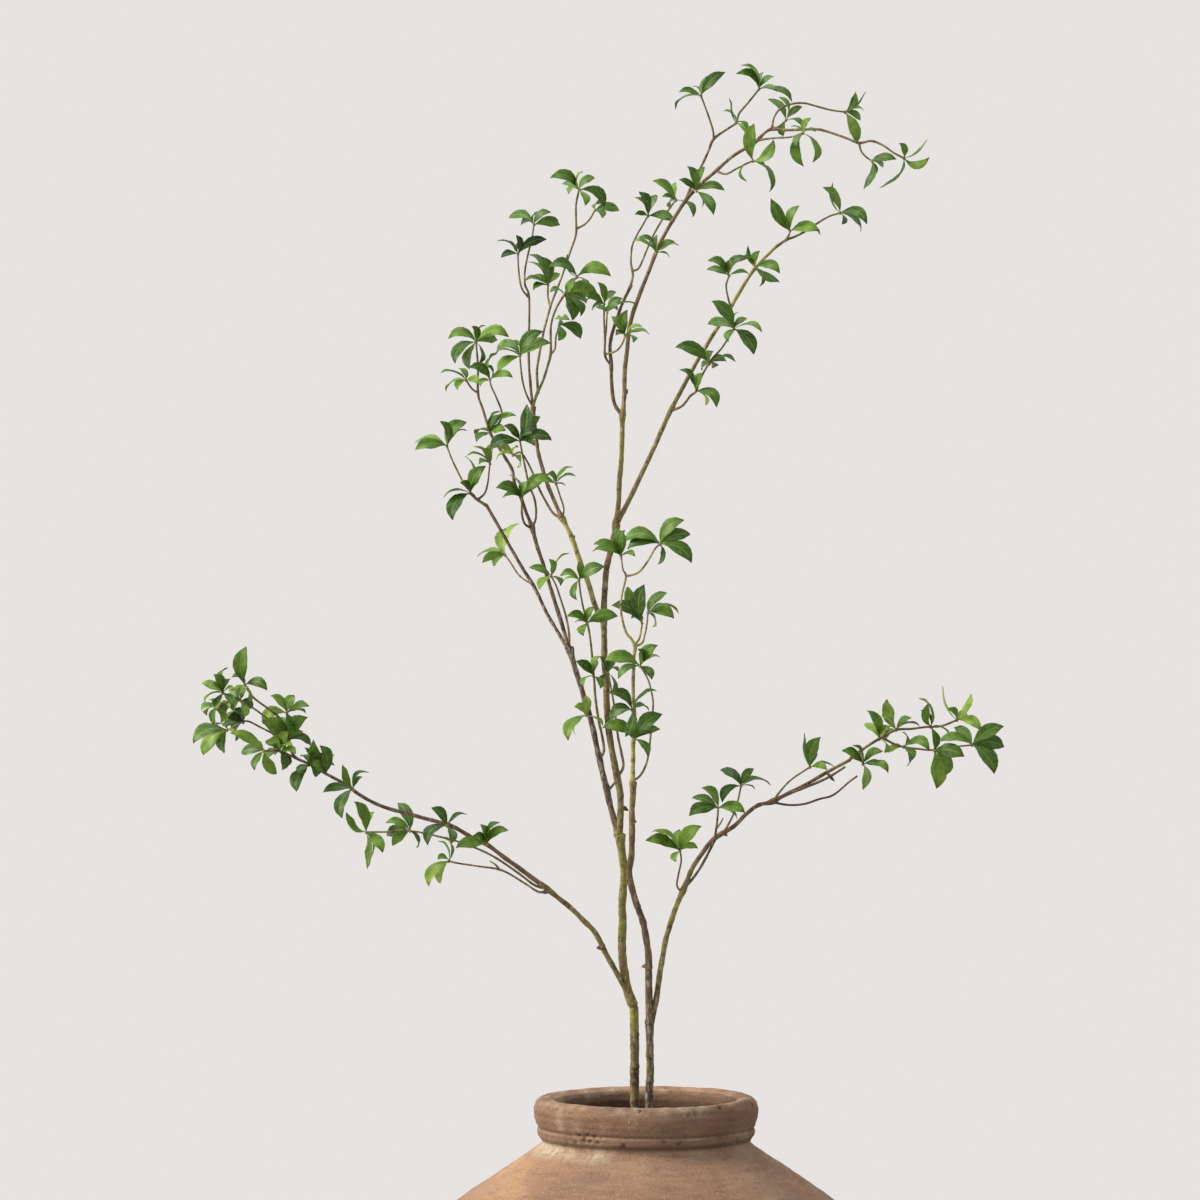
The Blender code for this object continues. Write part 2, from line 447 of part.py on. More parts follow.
        (311, 377, 0, [(303, 389), (335, 367, 5), (324, 382)], [(298, 412, -6), (323, 404, -5)]),
        (326, 352, 0, [(358, 371, 4), (360, 350, 4), (349, 323, 5), (292, 356, 6), (307, 371)],
         [(353, 328, 6)]),
    ]),
}

# Buds and short spurs on the wood: diameter, and where they start and end, as (across, up)
LEFT_BUDS = [(4.0, (-43, 150), (-50, 149)), (3.6, (-20, 702), (-18, 708)), (4.0, (-25, 291), (-17, 286)),
             (3.0, (-74, 557), (-71, 562)), (3.0, (-97, 206), (-103, 203))]
RIGHT_BUDS = [(3.6, (2, 132), (-5, 130)), (3.2, (-9, 190), (-5, 192)), (3.4, (-14, 276), (-9, 275)),
              (3.2, (181, 324), (189, 315)), (3.2, (77, 264), (82, 261))]
BUD_SIDES = 4
BUD_TIP = 0.35

TERRACOTTA = ("terracotta", (0.48, 0.28, 0.21, 1.0), 0.85)
EARTH = ("earth", (0.09, 0.06, 0.04, 1.0), 0.95)
BARK = ("bark", (0.13, 0.09, 0.05, 1.0), 0.75)
LEAVES = ("leaves", (0.12, 0.25, 0.04, 1.0), 0.5)


def clear_scene():
    """Remove the objects that the file opened with."""
    for thing in list(bpy.data.objects):
        bpy.data.objects.remove(thing, do_unlink=True)


def make_material(name, colour, roughness):
    """A plain material from its colour and roughness."""
    material = bpy.data.materials.new(name)
    material.use_nodes = True
    shader = material.node_tree.nodes["Principled BSDF"]
    shader.inputs["Base Color"].default_value = colour
    shader.inputs["Roughness"].default_value = roughness
    shader.inputs["Metallic"].default_value = 0.0
    return material


def make_object(name, vertices, faces, material):
    """An object from vertices in millimetres in the model's own frame."""
    mesh = bpy.data.meshes.new(name)
    mesh.from_pydata([tuple(vertex * MM) for vertex in np.asarray(vertices, float)], [], faces)
    mesh.update()
    thing = bpy.data.objects.new(name, mesh)
    thing.data.materials.append(material)
    bpy.context.collection.objects.link(thing)
    return thing


def seen_at(points):
    """Move points of the plan, as (across, depth, up), to where they stand in the model."""
    points = np.asarray(points, float)
    spread = 1.0 + points[:, 1] / VIEW_DISTANCE
    across = VIEW_ACROSS + (points[:, 0] - VIEW_ACROSS) * spread
    up = VIEW_UP + (points[:, 2] - VIEW_UP) * spread
    return np.column_stack([across, points[:, 1], up + JAR_HEIGHT])


def unit(vector):
    """The vector at length one."""
    return vector / np.linalg.norm(vector)


def smooth_profile(corners, count):
    """Points along a smooth curve through the corners of a turned profile."""
    corners = np.asarray(corners, float)
    padded = np.vstack([2 * corners[0] - corners[1], corners, 2 * corners[-1] - corners[-2]])
    points = []
    for place in np.linspace(0, len(corners) - 1, count):
        index = min(int(place), len(corners) - 2)
        share = place - index
        before, start, end, after = padded[index:index + 4]
        points.append(0.5 * (2 * start + (end - before) * share
                             + (2 * before - 5 * start + 4 * end - after) * share ** 2
                             + (3 * start - before - 3 * end + after) * share ** 3))
    return np.array(points)


def turned(profile, steps):
    """A closed solid turned from a profile that starts at the axis below and ends at it above."""
    angles = np.arange(steps) * 2 * math.pi / steps
    vertices = [(0, 0, profile[0][1])]
    for radius, height in profile[1:-1]:
        vertices += [(radius * math.cos(angle), radius * math.sin(angle), height) for angle in angles]
    vertices.append((0, 0, profile[-1][1]))
    last = len(vertices) - 1
    rings = len(profile) - 2
    faces = []
    for step in range(steps):
        following = (step + 1) % steps
        faces.append((0, 1 + following, 1 + step))
        for ring in range(rings - 1):
            low = 1 + ring * steps
            high = low + steps
            faces.append((low + step, low + following, high + following, high + step))
        top = 1 + (rings - 1) * steps
        faces.append((top + step, top + following, last))
    return vertices, faces


def tube(points, start_diameter, end_diameter, sides):
    """A closed tube along points of the plan, with a flat face at each end."""
    points = seen_at(points)
    runs = np.diff(points, axis=0)
    headings = [unit(run) for run in runs]
    tangents = [headings[0]]
    tangents += [unit(headings[i] + headings[i + 1]) for i in range(len(headings) - 1)]
    tangents.append(headings[-1])
    travelled = np.concatenate([[0.0], np.cumsum(np.linalg.norm(runs, axis=1))])
    radii = 0.5 * np.interp(travelled, [0, travelled[-1]], [start_diameter, end_diameter])
    side = unit(np.cross(tangents[0], SECTION_GUIDE))
    vertices = []
    for point, tangent, radius in zip(points, tangents, radii):
        side = unit(side - tangent * np.dot(side, tangent))
        other = np.cross(tangent, side)
        for corner in range(sides):
            angle = 2 * math.pi * corner / sides
            vertices.append(point + radius * (math.cos(angle) * side + math.sin(angle) * other))
    faces = [tuple(reversed(range(sides)))]
    for ring in range(len(points) - 1):
        for corner in range(sides):
            following = (corner + 1) % sides
            low = ring * sides
            high = low + sides
            faces.append((low + corner, low + following, high + following, high + corner))
    last = (len(points) - 1) * sides
    faces.append(tuple(range(last, last + sides)))
    return np.array(vertices), faces


def nearest_on(paths, across, up):
    """The point of the paths that is seen nearest to a place, as (across, depth, up)."""
    best = None
    for path in paths:
        for start, end in zip(path[:-1], path[1:]):
            seen_start = np.array([start[0], start[2]])
            seen_run = np.array([end[0], end[2]]) - seen_start
            reach = np.dot(seen_run, seen_run)
            share = np.clip(np.dot(np.array([across, up]) - seen_start, seen_run) / max(reach, 1e-6), 0, 1)
            point = start + share * (end - start)
            distance = math.hypot(point[0] - across, point[2] - up)
            if best is None or distance < best[0]:
                best = (distance, point)
    return best[1]


def thin_path(path):
    """The points of a path that it needs to keep within a small distance of its own course."""
    run = path[-1] - path[0]
    if len(path) < 3:
        return path
    distances = np.linalg.norm(np.cross(path[1:-1] - path[0], run), axis=1) / np.linalg.norm(run)
    farthest = int(np.argmax(distances))
    if distances[farthest] <= STRAIGHT_WITHIN:
        return path[[0, -1]]
    middle = farthest + 1
    return np.vstack([thin_path(path[:middle + 1])[:-1], thin_path(path[middle:])])


def give_depth(places, start_depth, end_depth):
    """The points (across, depth, up) of a limb whose depth changes evenly along it."""
    places = np.asarray(places, float)
    steps = np.linalg.norm(np.diff(places, axis=0), axis=1)
    travelled = np.concatenate([[0.0], np.cumsum(steps)])
    depths = np.interp(travelled, [0, max(travelled[-1], 1e-6)], [start_depth, end_depth])
    return thin_path(np.column_stack([places[:, 0], depths, places[:, 1]]))


def trace_limbs(limbs, trunk_depth):
    """The points of each limb of a plant, each starting on the limbs before it."""
    paths = {}
    for name, (_, _, end_depth, places) in limbs.items():
        if paths:
            root = nearest_on(paths.values(), *places[0])
            places = [(root[0], root[2])] + places[1:]
            paths[name] = give_depth(places, root[1], end_depth)
        else:
            paths[name] = give_depth(places, trunk_depth, end_depth)
    return paths


def trace_twigs(twigs, limb_paths):
    """The points of each twig of a spray: the first starts on a limb, the others on the twigs."""
    paths = []
    for _, _, end_depth, places in twigs:
        root = nearest_on(paths or limb_paths, *places[0])
        places = [(root[0], root[2])] + places[1:]
        paths.append(give_depth(places, root[1], end_depth))
    return paths


def split_path(path, distance, gap):
    """The first stretch of a path, and the rest of it beyond a gap."""
    steps = np.linalg.norm(np.diff(path, axis=0), axis=1)
    travelled = np.concatenate([[0.0], np.cumsum(steps)])

    def point_at(length):
        return np.array([np.interp(length, travelled, path[:, axis]) for axis in range(3)])

    before = [point for point, length in zip(path, travelled) if length < distance - END_MARGIN]
    after = [point for point, length in zip(path, travelled) if length > distance + gap + END_MARGIN]
    return np.array(before + [point_at(distance)]), np.array([point_at(distance + gap)] + after)


def leaf_curve(hub, tip, arch, from_face):
    """The start, control and end points of a leaf's midrib, and the way that its face looks."""
    run = tip - hub
    seen = math.hypot(run[0], run[2])
    up_side = np.array([-run[2], 0.0, run[0]]) / seen
    if up_side[2] < 0:
        up_side = -up_side
    length = np.linalg.norm(run)
    rise = arch[0] if arch else (BROAD_ARCH if from_face else EDGE_ARCH) * length
    forward = np.array([0.0, -1.0, 0.0])
    control = hub + 0.5 * run + 2 * rise * up_side + FORWARD_BOW * length * forward
    ahead, above = BROAD_FACE if from_face else EDGE_FACE
    return hub, control, hub + run, unit(ahead * forward + above * up_side)


def leaf_frame(curve, share, roll):
    """A leaf's midrib point, its heading, its sideways direction and the way its face looks."""
    start, control, end, face = curve
    point = (1 - share) ** 2 * start + 2 * share * (1 - share) * control + share ** 2 * end
    heading = unit(2 * (1 - share) * (control - start) + 2 * share * (end - control))
    face = unit(face - heading * np.dot(face, heading))
    turned_face = face * math.cos(roll) + np.cross(face, heading) * math.sin(roll)
    return point, heading, np.cross(turned_face, heading), turned_face


def leaf_solid(curve, width, roll):
    """One leaf: a blade with a low rib under it, from a point inside its knob to its tip."""
    root, heading, _, _ = leaf_frame(curve, 0.0, roll)
    vertices = [root - heading * ROOT_SUNK]
    for share, part in STATIONS:
        point, _, sideways, face = leaf_frame(curve, share, roll)
        half = 0.5 * width * part
        edge = point + face * LEAF_FOLD * half
        vertices += [edge - sideways * half, edge + sideways * half, point - face * LEAF_RIB]
    vertices.append(curve[2])
    faces = [(0, 1, 2), (0, 2, 3), (0, 3, 1)]
    faces += [(1, 4, 5), (1, 5, 2), (2, 5, 6), (2, 6, 3), (3, 6, 4), (3, 4, 1)]
    faces += [(4, 7, 5), (5, 7, 6), (6, 7, 4)]
    return seen_at(vertices), faces


def hub_solid(hub):
    """The small four-sided knob that a whorl's leaves grow from."""
    vertices = seen_at([hub + KNOB_SIZE * np.array(corner) for corner in KNOB_CORNERS])
    return vertices, [(0, 1, 3), (1, 2, 3), (2, 0, 3), (0, 2, 1)]


def leaf_marks(curve, width, roll):
    """Points on a leaf's blade, for keeping leaves clear of one another."""
    marks = []
    for share in MARK_SHARES:
        point, _, sideways, _ = leaf_frame(curve, share, roll)
        half = 0.5 * width * np.interp(share, [0.0, *(place for place, _ in STATIONS), 1.0],
                                       [0.0, *(part for _, part in STATIONS), 0.0])
        marks += [point + sideways * half * part for part in (-1.0, -0.5, 0.0, 0.5, 1.0)]
    return np.array([(*mark, 0.0) for mark in marks])


def path_marks(path, start_diameter, end_diameter):
    """Points along a limb or twig, each with its radius, for keeping leaves clear of it."""
    travelled = np.concatenate([[0.0], np.cumsum(np.linalg.norm(np.diff(path, axis=0), axis=1))])
    places = np.arange(0, travelled[-1], MARK_SPACING)
    marks = [np.interp(places, travelled, path[:, axis]) for axis in range(3)]
    radii = 0.5 * np.interp(places, [0, travelled[-1]], [start_diameter, end_diameter])
    return np.column_stack([*marks, radii])


def crowding(marks, taken):
    """How far a leaf's marks come too near to the marks that are already taken."""
    gaps = np.linalg.norm(marks[:, None, :3] - taken[None, :, :3], axis=2) - taken[None, :, 3]
    return float(np.sum(np.clip(CLEARANCE - gaps, 0, None) ** 2))


def choose_leaf(hub, lean, tip, from_face, taken, draw):
    """One leaf's curve, width and roll, leaning the way that keeps it clearest of the rest."""
    across, up, *arch = tip
    seen = math.hypot(across - hub[0], up - hub[2])
    longest = max(SLANT * seen, min(FULL_LENGTH, max(SHORTEST_LEAF, SHORT_SLANT * seen)))
    reach = math.sqrt(longest ** 2 - seen ** 2)
    broadness = LEAF_WIDTH * draw.uniform(*WIDTH_SPREAD)
    taken = taken[np.linalg.norm(taken[:, :3] - hub, axis=1) < MARK_REACH]
    best = None
    for way in LEANS[lean]:
        for roll in (draw.uniform(-ROLL, 0), draw.uniform(0, ROLL)):
            curve = leaf_curve(hub, np.array([across, hub[1] + way * reach, up]), arch, from_face)
            width = broadness * math.hypot(seen, way * reach)
            marks = leaf_marks(curve, width, roll)
            crowd = crowding(marks, taken)
            if best is None or crowd < best[0]:
                best = (crowd, curve, width, roll, marks)
    return best[1:]


def join_solids(name, solids, material):
    """One object from overlapping solids, joined by a Boolean union."""
    first, *others = [make_object(name, vertices, faces, material) for vertices, faces in solids]
    if not others:
        return first
    group = bpy.data.collections.new(name)
    for thing in others:
        group.objects.link(thing)
        bpy.context.collection.objects.unlink(thing)
    bpy.context.scene.collection.children.link(group)
    union = first.modifiers.new("union", "BOOLEAN")
    union.operation = "UNION"
    union.operand_type = "COLLECTION"
    union.collection = group
    union.solver = "MANIFOLD"
    joined = bpy.data.meshes.new_from_object(first.evaluated_get(bpy.context.evaluated_depsgraph_get()))
    first.modifiers.remove(union)
    first.data = joined
    for thing in others:
        bpy.data.objects.remove(thing, do_unlink=True)
    bpy.data.collections.remove(group)
    return first


def wood_solids(limbs, limb_paths, buds, stubs):
    """A plant's limbs with their buds and the short stubs that its sprays grow on."""
    solids = []
    for name, (start, end, _, _) in limbs.items():
        sides = TRUNK_SIDES if start > THICK_LIMB else LIMB_SIDES
        solids.append(tube(limb_paths[name], start, end, sides))
    for diameter, start, end in buds:
        root = nearest_on(limb_paths.values(), *start)
        tip = np.array([end[0], root[1], end[1]], float)
        solids.append(tube([root, tip], diameter, BUD_TIP * diameter, BUD_SIDES))
    for path, diameter in stubs:
        solids.append(tube(path, diameter, diameter, STUB_SIDES))
    return solids


def build_spray(name, twigs, paths, whorls, taken, draw, material):
    """One spray: its twigs, and at each whorl a knob with its leaves. Returns its leaves' marks."""
    solids = [tube(path, twig[0], twig[1], TWIG_SIDES) for path, twig in zip(paths, twigs)]
    for across, up, lean, broad, edge in whorls:
        hub = nearest_on(paths, across, up)
        solids.append(hub_solid(hub))
        tips = [(tip, True) for tip in broad] + [(tip, False) for tip in edge]
        for tip, from_face in tips:
            curve, width, roll, marks = choose_leaf(hub, lean, tip, from_face, taken, draw)
            solids.append(leaf_solid(curve, width, roll))
            taken = np.vstack([taken, marks])
    join_solids(name, solids, material)
    return taken


def build_plants(bark, leaves):
    """Both plants: their wood, and each spray a small gap away from its stub."""
    draw = random.Random(SEED)
    limb_sets = {"left": (LEFT_LIMBS, LEFT_TRUNK_DEPTH, LEFT_BUDS),
                 "right": (RIGHT_LIMBS, RIGHT_TRUNK_DEPTH, RIGHT_BUDS)}
    limb_paths = {side: trace_limbs(limbs, depth) for side, (limbs, depth, _) in limb_sets.items()}
    stubs = {"left": [], "right": []}
    spray_paths = {}
    taken = [path_marks(limb_paths[side][name], limb[0], limb[1])
             for side, (limbs, _, _) in limb_sets.items() for name, limb in limbs.items()]
    for name, (side, twigs, _) in SPRAYS.items():
        paths = trace_twigs(twigs, limb_paths[side].values())
        taken += [path_marks(path, twig[0], twig[1]) for path, twig in zip(paths, twigs)]
        stub, paths[0] = split_path(paths[0], STUB_LENGTH, JOINT_GAP)
        stubs[side].append((stub, twigs[0][0]))
        spray_paths[name] = paths
    taken = np.vstack(taken)
    for name, (_, twigs, whorls) in SPRAYS.items():
        taken = build_spray(name, twigs, spray_paths[name], whorls, taken, draw, leaves)
    for side, (limbs, _, buds) in limb_sets.items():
        join_solids(side + "_plant", wood_solids(limbs, limb_paths[side], buds, stubs[side]), bark)


def build_jar(material):
    """The jar: one turned wall with a rolled collar, a smooth belly and a flat base."""
    belly = [tuple(point) for point in smooth_profile(BELLY, BELLY_RINGS)]
    outline = [(0, 0), (BASE_RADIUS - BASE_CHAMFER, 0)] + belly + COLLAR + MOUTH + INSIDE
    outline += [(INSIDE[-1][0] - FLOOR_THICKNESS, FLOOR_THICKNESS), (0, FLOOR_THICKNESS)]
    vertices, faces = turned(outline, JAR_STEPS)
    jar = make_object("jar", vertices, faces, material)
    jar.data.shade_smooth()
    jar.data.set_sharp_from_angle(angle=math.radians(SHARP_ANGLE))


def build_soil(material):
    """The soil: it fills the jar a small gap inside its wall, with a plain hole for each stem."""
    wall = [(radius - SOIL_GAP, height) for radius, height in reversed(INSIDE)]
    neck_radius = MOUTH[-1][0] - SOIL_GAP
    bottom = FLOOR_THICKNESS + SOIL_GAP
    outline = [(0, bottom), (INSIDE[-1][0] - FLOOR_THICKNESS - SOIL_GAP, bottom)] + wall
    outline += [(neck_radius, MOUTH[-1][1]), (neck_radius, SOIL_TOP), (0, SOIL_TOP)]
    vertices, faces = turned(outline, JAR_STEPS)
    soil = make_object("soil", vertices, faces, material)
    for limbs, depth in ((LEFT_LIMBS, LEFT_TRUNK_DEPTH), (RIGHT_LIMBS, RIGHT_TRUNK_DEPTH)):
        foot, rim = trace_limbs(limbs, depth)["trunk"][:2]
        foot = foot - STEM_HOLE_GAP * unit(rim - foot)
        width = limbs["trunk"][0] + 2 * STEM_HOLE_GAP
        vertices, faces = tube([foot, rim], width, width, STEM_HOLE_SIDES)
        cutter = make_object("stem_hole", vertices, faces, material)
        cut = soil.modifiers.new("stem hole", "BOOLEAN")
        cut.operation = "DIFFERENCE"
        cut.solver = "EXACT"
        cut.object = cutter
        soil.data = bpy.data.meshes.new_from_object(soil.evaluated_get(bpy.context.evaluated_depsgraph_get()))
        soil.modifiers.remove(cut)
        bpy.data.objects.remove(cutter, do_unlink=True)


def main():
    clear_scene()
    build_jar(make_material(*TERRACOTTA))
    build_soil(make_material(*EARTH))
    build_plants(make_material(*BARK), make_material(*LEAVES))


main()
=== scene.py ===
"""The looks of a potted enkianthus: two woody plants with whorls of leaves in a terracotta jar.

The plan below gives the plants in millimetres as they are seen from the front: across from the
jar's axis, up from the jar's rim, and depth behind the jar's axis. The pieces are in metres, with
+Z up, the front towards -Y and the origin at the middle of the jar's flat base.
"""
import math
import random

import bpy
import numpy as np
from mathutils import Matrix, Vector


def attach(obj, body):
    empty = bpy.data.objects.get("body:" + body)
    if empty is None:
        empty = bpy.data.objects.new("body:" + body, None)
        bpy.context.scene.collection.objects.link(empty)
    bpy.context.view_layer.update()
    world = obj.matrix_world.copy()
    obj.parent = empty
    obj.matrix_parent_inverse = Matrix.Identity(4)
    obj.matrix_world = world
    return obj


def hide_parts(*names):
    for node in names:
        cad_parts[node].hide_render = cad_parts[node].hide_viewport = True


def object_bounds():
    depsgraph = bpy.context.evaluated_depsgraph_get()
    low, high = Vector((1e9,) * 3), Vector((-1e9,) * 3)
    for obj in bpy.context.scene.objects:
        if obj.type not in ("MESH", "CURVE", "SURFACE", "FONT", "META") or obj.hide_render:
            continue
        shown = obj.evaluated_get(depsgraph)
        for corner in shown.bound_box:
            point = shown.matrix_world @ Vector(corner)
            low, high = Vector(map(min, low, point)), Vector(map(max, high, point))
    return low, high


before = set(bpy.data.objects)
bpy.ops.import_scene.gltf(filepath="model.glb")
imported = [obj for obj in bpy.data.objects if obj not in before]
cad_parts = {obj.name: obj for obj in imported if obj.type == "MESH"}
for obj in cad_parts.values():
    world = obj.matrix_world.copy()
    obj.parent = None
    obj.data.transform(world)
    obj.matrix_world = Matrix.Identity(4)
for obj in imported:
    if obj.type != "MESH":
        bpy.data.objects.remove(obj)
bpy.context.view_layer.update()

MM = 0.001

# Jar, in millimetres above its base
JAR_HEIGHT = 440.0
BASE_RADIUS = 120.0
BASE_CHAMFER = 4.0
BELLY = [(120, 4), (158, 38), (200, 92), (233, 155), (250, 215), (250, 258), (236, 294), (212, 318),
         (185, 339)]
COLLAR = [(104.5, 394), (105, 399), (109, 404), (108, 408), (112, 421), (112.5, 430), (110, 437),
          (106, 440)]
MOUTH = [(98, 440), (91, 437.5), (87, 433), (85.5, 427), (86, 418), (90, 402), (90, 394)]
INSIDE = [(170, 332), (224, 290), (235, 240), (200, 115), (138, 32)]
FLOOR_THICKNESS = 16.0
JAR_STEPS = 330
BELLY_POINTS = 60

# How far apart the jar's rings are: under it, on the belly, the shoulder, the collar and inside
RING_GAPS = {"base": 18.0, "belly": 8.0, "shoulder": 2.6, "collar": 1.1, "inside": 16.0}
EDGE_ROUNDING = 2

# The turned groove round the collar and the lip under it, which sway up and down round the jar
GROOVE_HEIGHT = 411.0
GROOVE_WIDTH = 1.5
GROOVE_DEPTH = 1.3
LIP_HEIGHT = 407.6
LIP_WIDTH = 1.6
LIP_RISE = 0.8
SWAY = 0.8
SWAY_LENGTH = 55.0

# The collar's foot, the painted shadow under its undercut edge, and the crease under it where lime has gathered
COLLAR_FOOT = 398.0
COLLAR_FADE = 4.0
UNDERCUT_HEIGHT = 400.0
UNDERCUT_WIDTH = 2.6
CREASE_HEIGHT = 393.5
LIME_BAND = 6.5
LIME_RADIUS = 128.0

# Wear: clouds of relief, each with its size, its height and its seed, and a finer grain, which
# stands out more on the collar. It starts above the base, and inside it stays near the mouth.
WEAR = [(70, 0.9, 1), (24, 0.35, 2), (9, 0.22, 3)]
GRAIN_SIZE = 3.6
GRAIN_HEIGHT = 0.14
COLLAR_GRAIN = 0.12
WEAR_FADE = 14.0
WEAR_INSIDE = 404.0

# Throwing rings: how fast their wave runs upward, how far it drifts and how high it stands
RING_WAVE = 0.9
RING_DRIFT = 2.5
RING_HEIGHT = 0.12

# Tints: a painted highlight along the edge above the lip, rubbed clay on the rim, dust on the shoulder,
# painted shade on the inside below the rim that darkens downward over this depth, and how far from
# left to right the lime thins out and the collar's painted shade deepens
PAINTED_EDGE_HIGHLIGHT = (LIP_HEIGHT + 1.8, 0.9)
RUBBED_RIM = (438.0, 5.0)
RUBBED_RADIUS = 88.0
DUSTY_HEIGHT = 250.0
INNER_HEIGHT = 437.0
DARKENING_DEPTH = 30.0
LIME_SPREAD = 150.0

# Dents: how many, the line (radius, height) that they lie along, their reaches and their depths
DENT_ZONES = [
    (30, (110.0, 438.0), (112.0, 433.0), (2.0, 6.0), (0.4, 1.3)),
    (26, (107.5, 408.0), (108.5, 402.5), (1.6, 5.0), (0.5, 1.5)),
    (20, (90.0, 437.0), (99.0, 440.0), (3.0, 7.0), (0.4, 1.2)),
    (46, (112.0, 430.0), (108.5, 410.0), (1.2, 2.6), (0.3, 0.8)),
    (60, (180.0, 343.0), (112.0, 388.0), (1.8, 4.5), (0.3, 0.8)),
    (40, (248.0, 265.0), (195.0, 330.0), (3.0, 8.0), (0.4, 1.0)),
]

# Dents seen at one place from the front: across, height, reach and depth
FRONT_DENTS = [
    (-67, 411, 3.2, 1.8), (-62, 408, 3.8, 2.2), (-58, 412, 3.0, 1.8), (-55, 406, 3.6, 2.2),
    (-51, 411, 3.0, 1.7), (-48, 406, 3.4, 2.0), (-70, 405, 2.8, 1.6), (-7, 438.5, 4.4, 2.6),
    (-1, 437, 3.0, 1.7), (72, 438.5, 3.6, 2.4), (-98, 434, 3.0, 1.2), (30, 405, 2.8, 1.4),
    (-24, 404, 2.6, 1.4)]

# Lumps of clay left on it, given in the same way
FRONT_LUMPS = [(101, 404, 3.4, 1.8), (-14, 433, 2.4, 0.6), (-34, 429, 2.0, 0.5), (-80, 436, 3.0, 0.8)]
COLLAR_REACH = 108.6

# Soil
SOIL_TOP = 400.0
SOIL_GAP = 0.6
SOIL_RINGS = 46
SOIL_STEPS = 120
STEM_FOOT = -110.0

# The soil's heap, as clouds with their size, height and seed, and the crumbs that lie on it
HEAP = [(34, 1.8, 21), (12, 1.3, 22), (5, 0.9, 23)]
CRUMBS = 420
CRUMB_SIZES = (1.6, 2.2, 3.0, 4.2)
CRUMB_LENGTH = 2.1
CRUMB_RADIUS = 0.55
CRUMB_RISE = (-0.5, 2.5)
CRUMB_MARGIN = 5.0

# The plan is drawn as it is seen from this far in front, at this place across and up
VIEW_DISTANCE = 4600.0
VIEW_ACROSS = -46.0
VIEW_UP = 497.0
LENS = 138.0
SENSOR = 36.0

# Wood
STRAIGHT_WITHIN = 1.0
STUB_LENGTH = 7.0
JOINT_GAP = 0.3
END_MARGIN = 0.5
SECTION_GUIDE = (0.31, 0.87, 0.11)
THICK_LIMB = 5.0
BARK_STEP = 1.6
TWIG_STEP = 2.6
THICK_SIDES = 18
LIMB_SIDES = 12
TWIG_SIDES = 8
LINE_POINTS = 6
END_ROUNDING = 0.6

# How much wood swells round the foot of a limb, a spray and a twig, and how far from it
LIMB_SWELLING = 0.22
SPRAY_SWELLING = 0.16
TWIG_SWELLING = 0.2
SWELLING_REACH = 3.2

# A ring joint: the widths of its dark line and of its cut, and for its two collars their place
# along the wood, their width and their share of the height. Heights are shares of the radius.
JOINT_LINE = 0.9
JOINT_DARKNESS = 0.6
CUT_WIDTH = 1.1
CUT_DEPTH = 0.14
JOINT_COLLARS = [(1.8, 2.4, 1.0), (-2.0, 1.4, 0.4)]
COLLAR_RISE = 0.12

# Bark's relief is laid round a circle of this radius. Each cloud of it has its stretch, its size,
# its height as a share of the wood's radius, and its seed. The wood also bends a little.
BARK_ROUND = 2.2
FURROWS = [((1, 1, 0.3), 1.5, 0.08, 0), ((0.6, 0.6, 1), 5.0, 0.09, 7)]
BEND_LENGTH = 22.0
BEND_SHARE = 0.18

# Buds and knobs: where their first and last rings are, as shares of their length, and how much
# fuller they are towards the start
BUD_ENDS = (0.06, 0.94)
BUD_FULLNESS = 0.8
BUD_RADIUS = 0.62
BUD_TONE = 0.4

# Leaves
FULL_LENGTH = 37.0
SHORTEST_LEAF = 25.0
SLANT = 1.03
SHORT_SLANT = 1.2
LEAF_WIDTH = 0.39
WIDTH_SPREAD = (0.9, 1.1)

# A leaf's arch and its bow towards the front, as shares of its length, and how much its face
# looks forward and upward, for leaves seen from their faces and from their edges
BROAD_ARCH = 0.11
EDGE_ARCH = 0.16
FORWARD_BOW = 0.12
BROAD_FACE = (0.9, 0.45)
EDGE_FACE = (0.32, 0.95)

# Where along a leaf its width is set for keeping it clear, as shares of its length and width
STATIONS = [(0.47, 0.83), (0.75, 0.94)]

# The ways that a leaf may lean and roll to keep clear of the rest, and how clear it tries to be
LEANS = {0: (-1.0, 1.0, -0.5, 0.5), -1: (-1.0, -0.5, 0.2), 1: (1.0, 0.5, -0.2)}
ROLL = 0.3
MARK_SHARES = (0.2, 0.32, 0.44, 0.58, 0.73, 0.87, 1.0)
MARK_SPACING = 3.0
MARK_REACH = 50.0
CLEARANCE = 5.0
SEED = 11

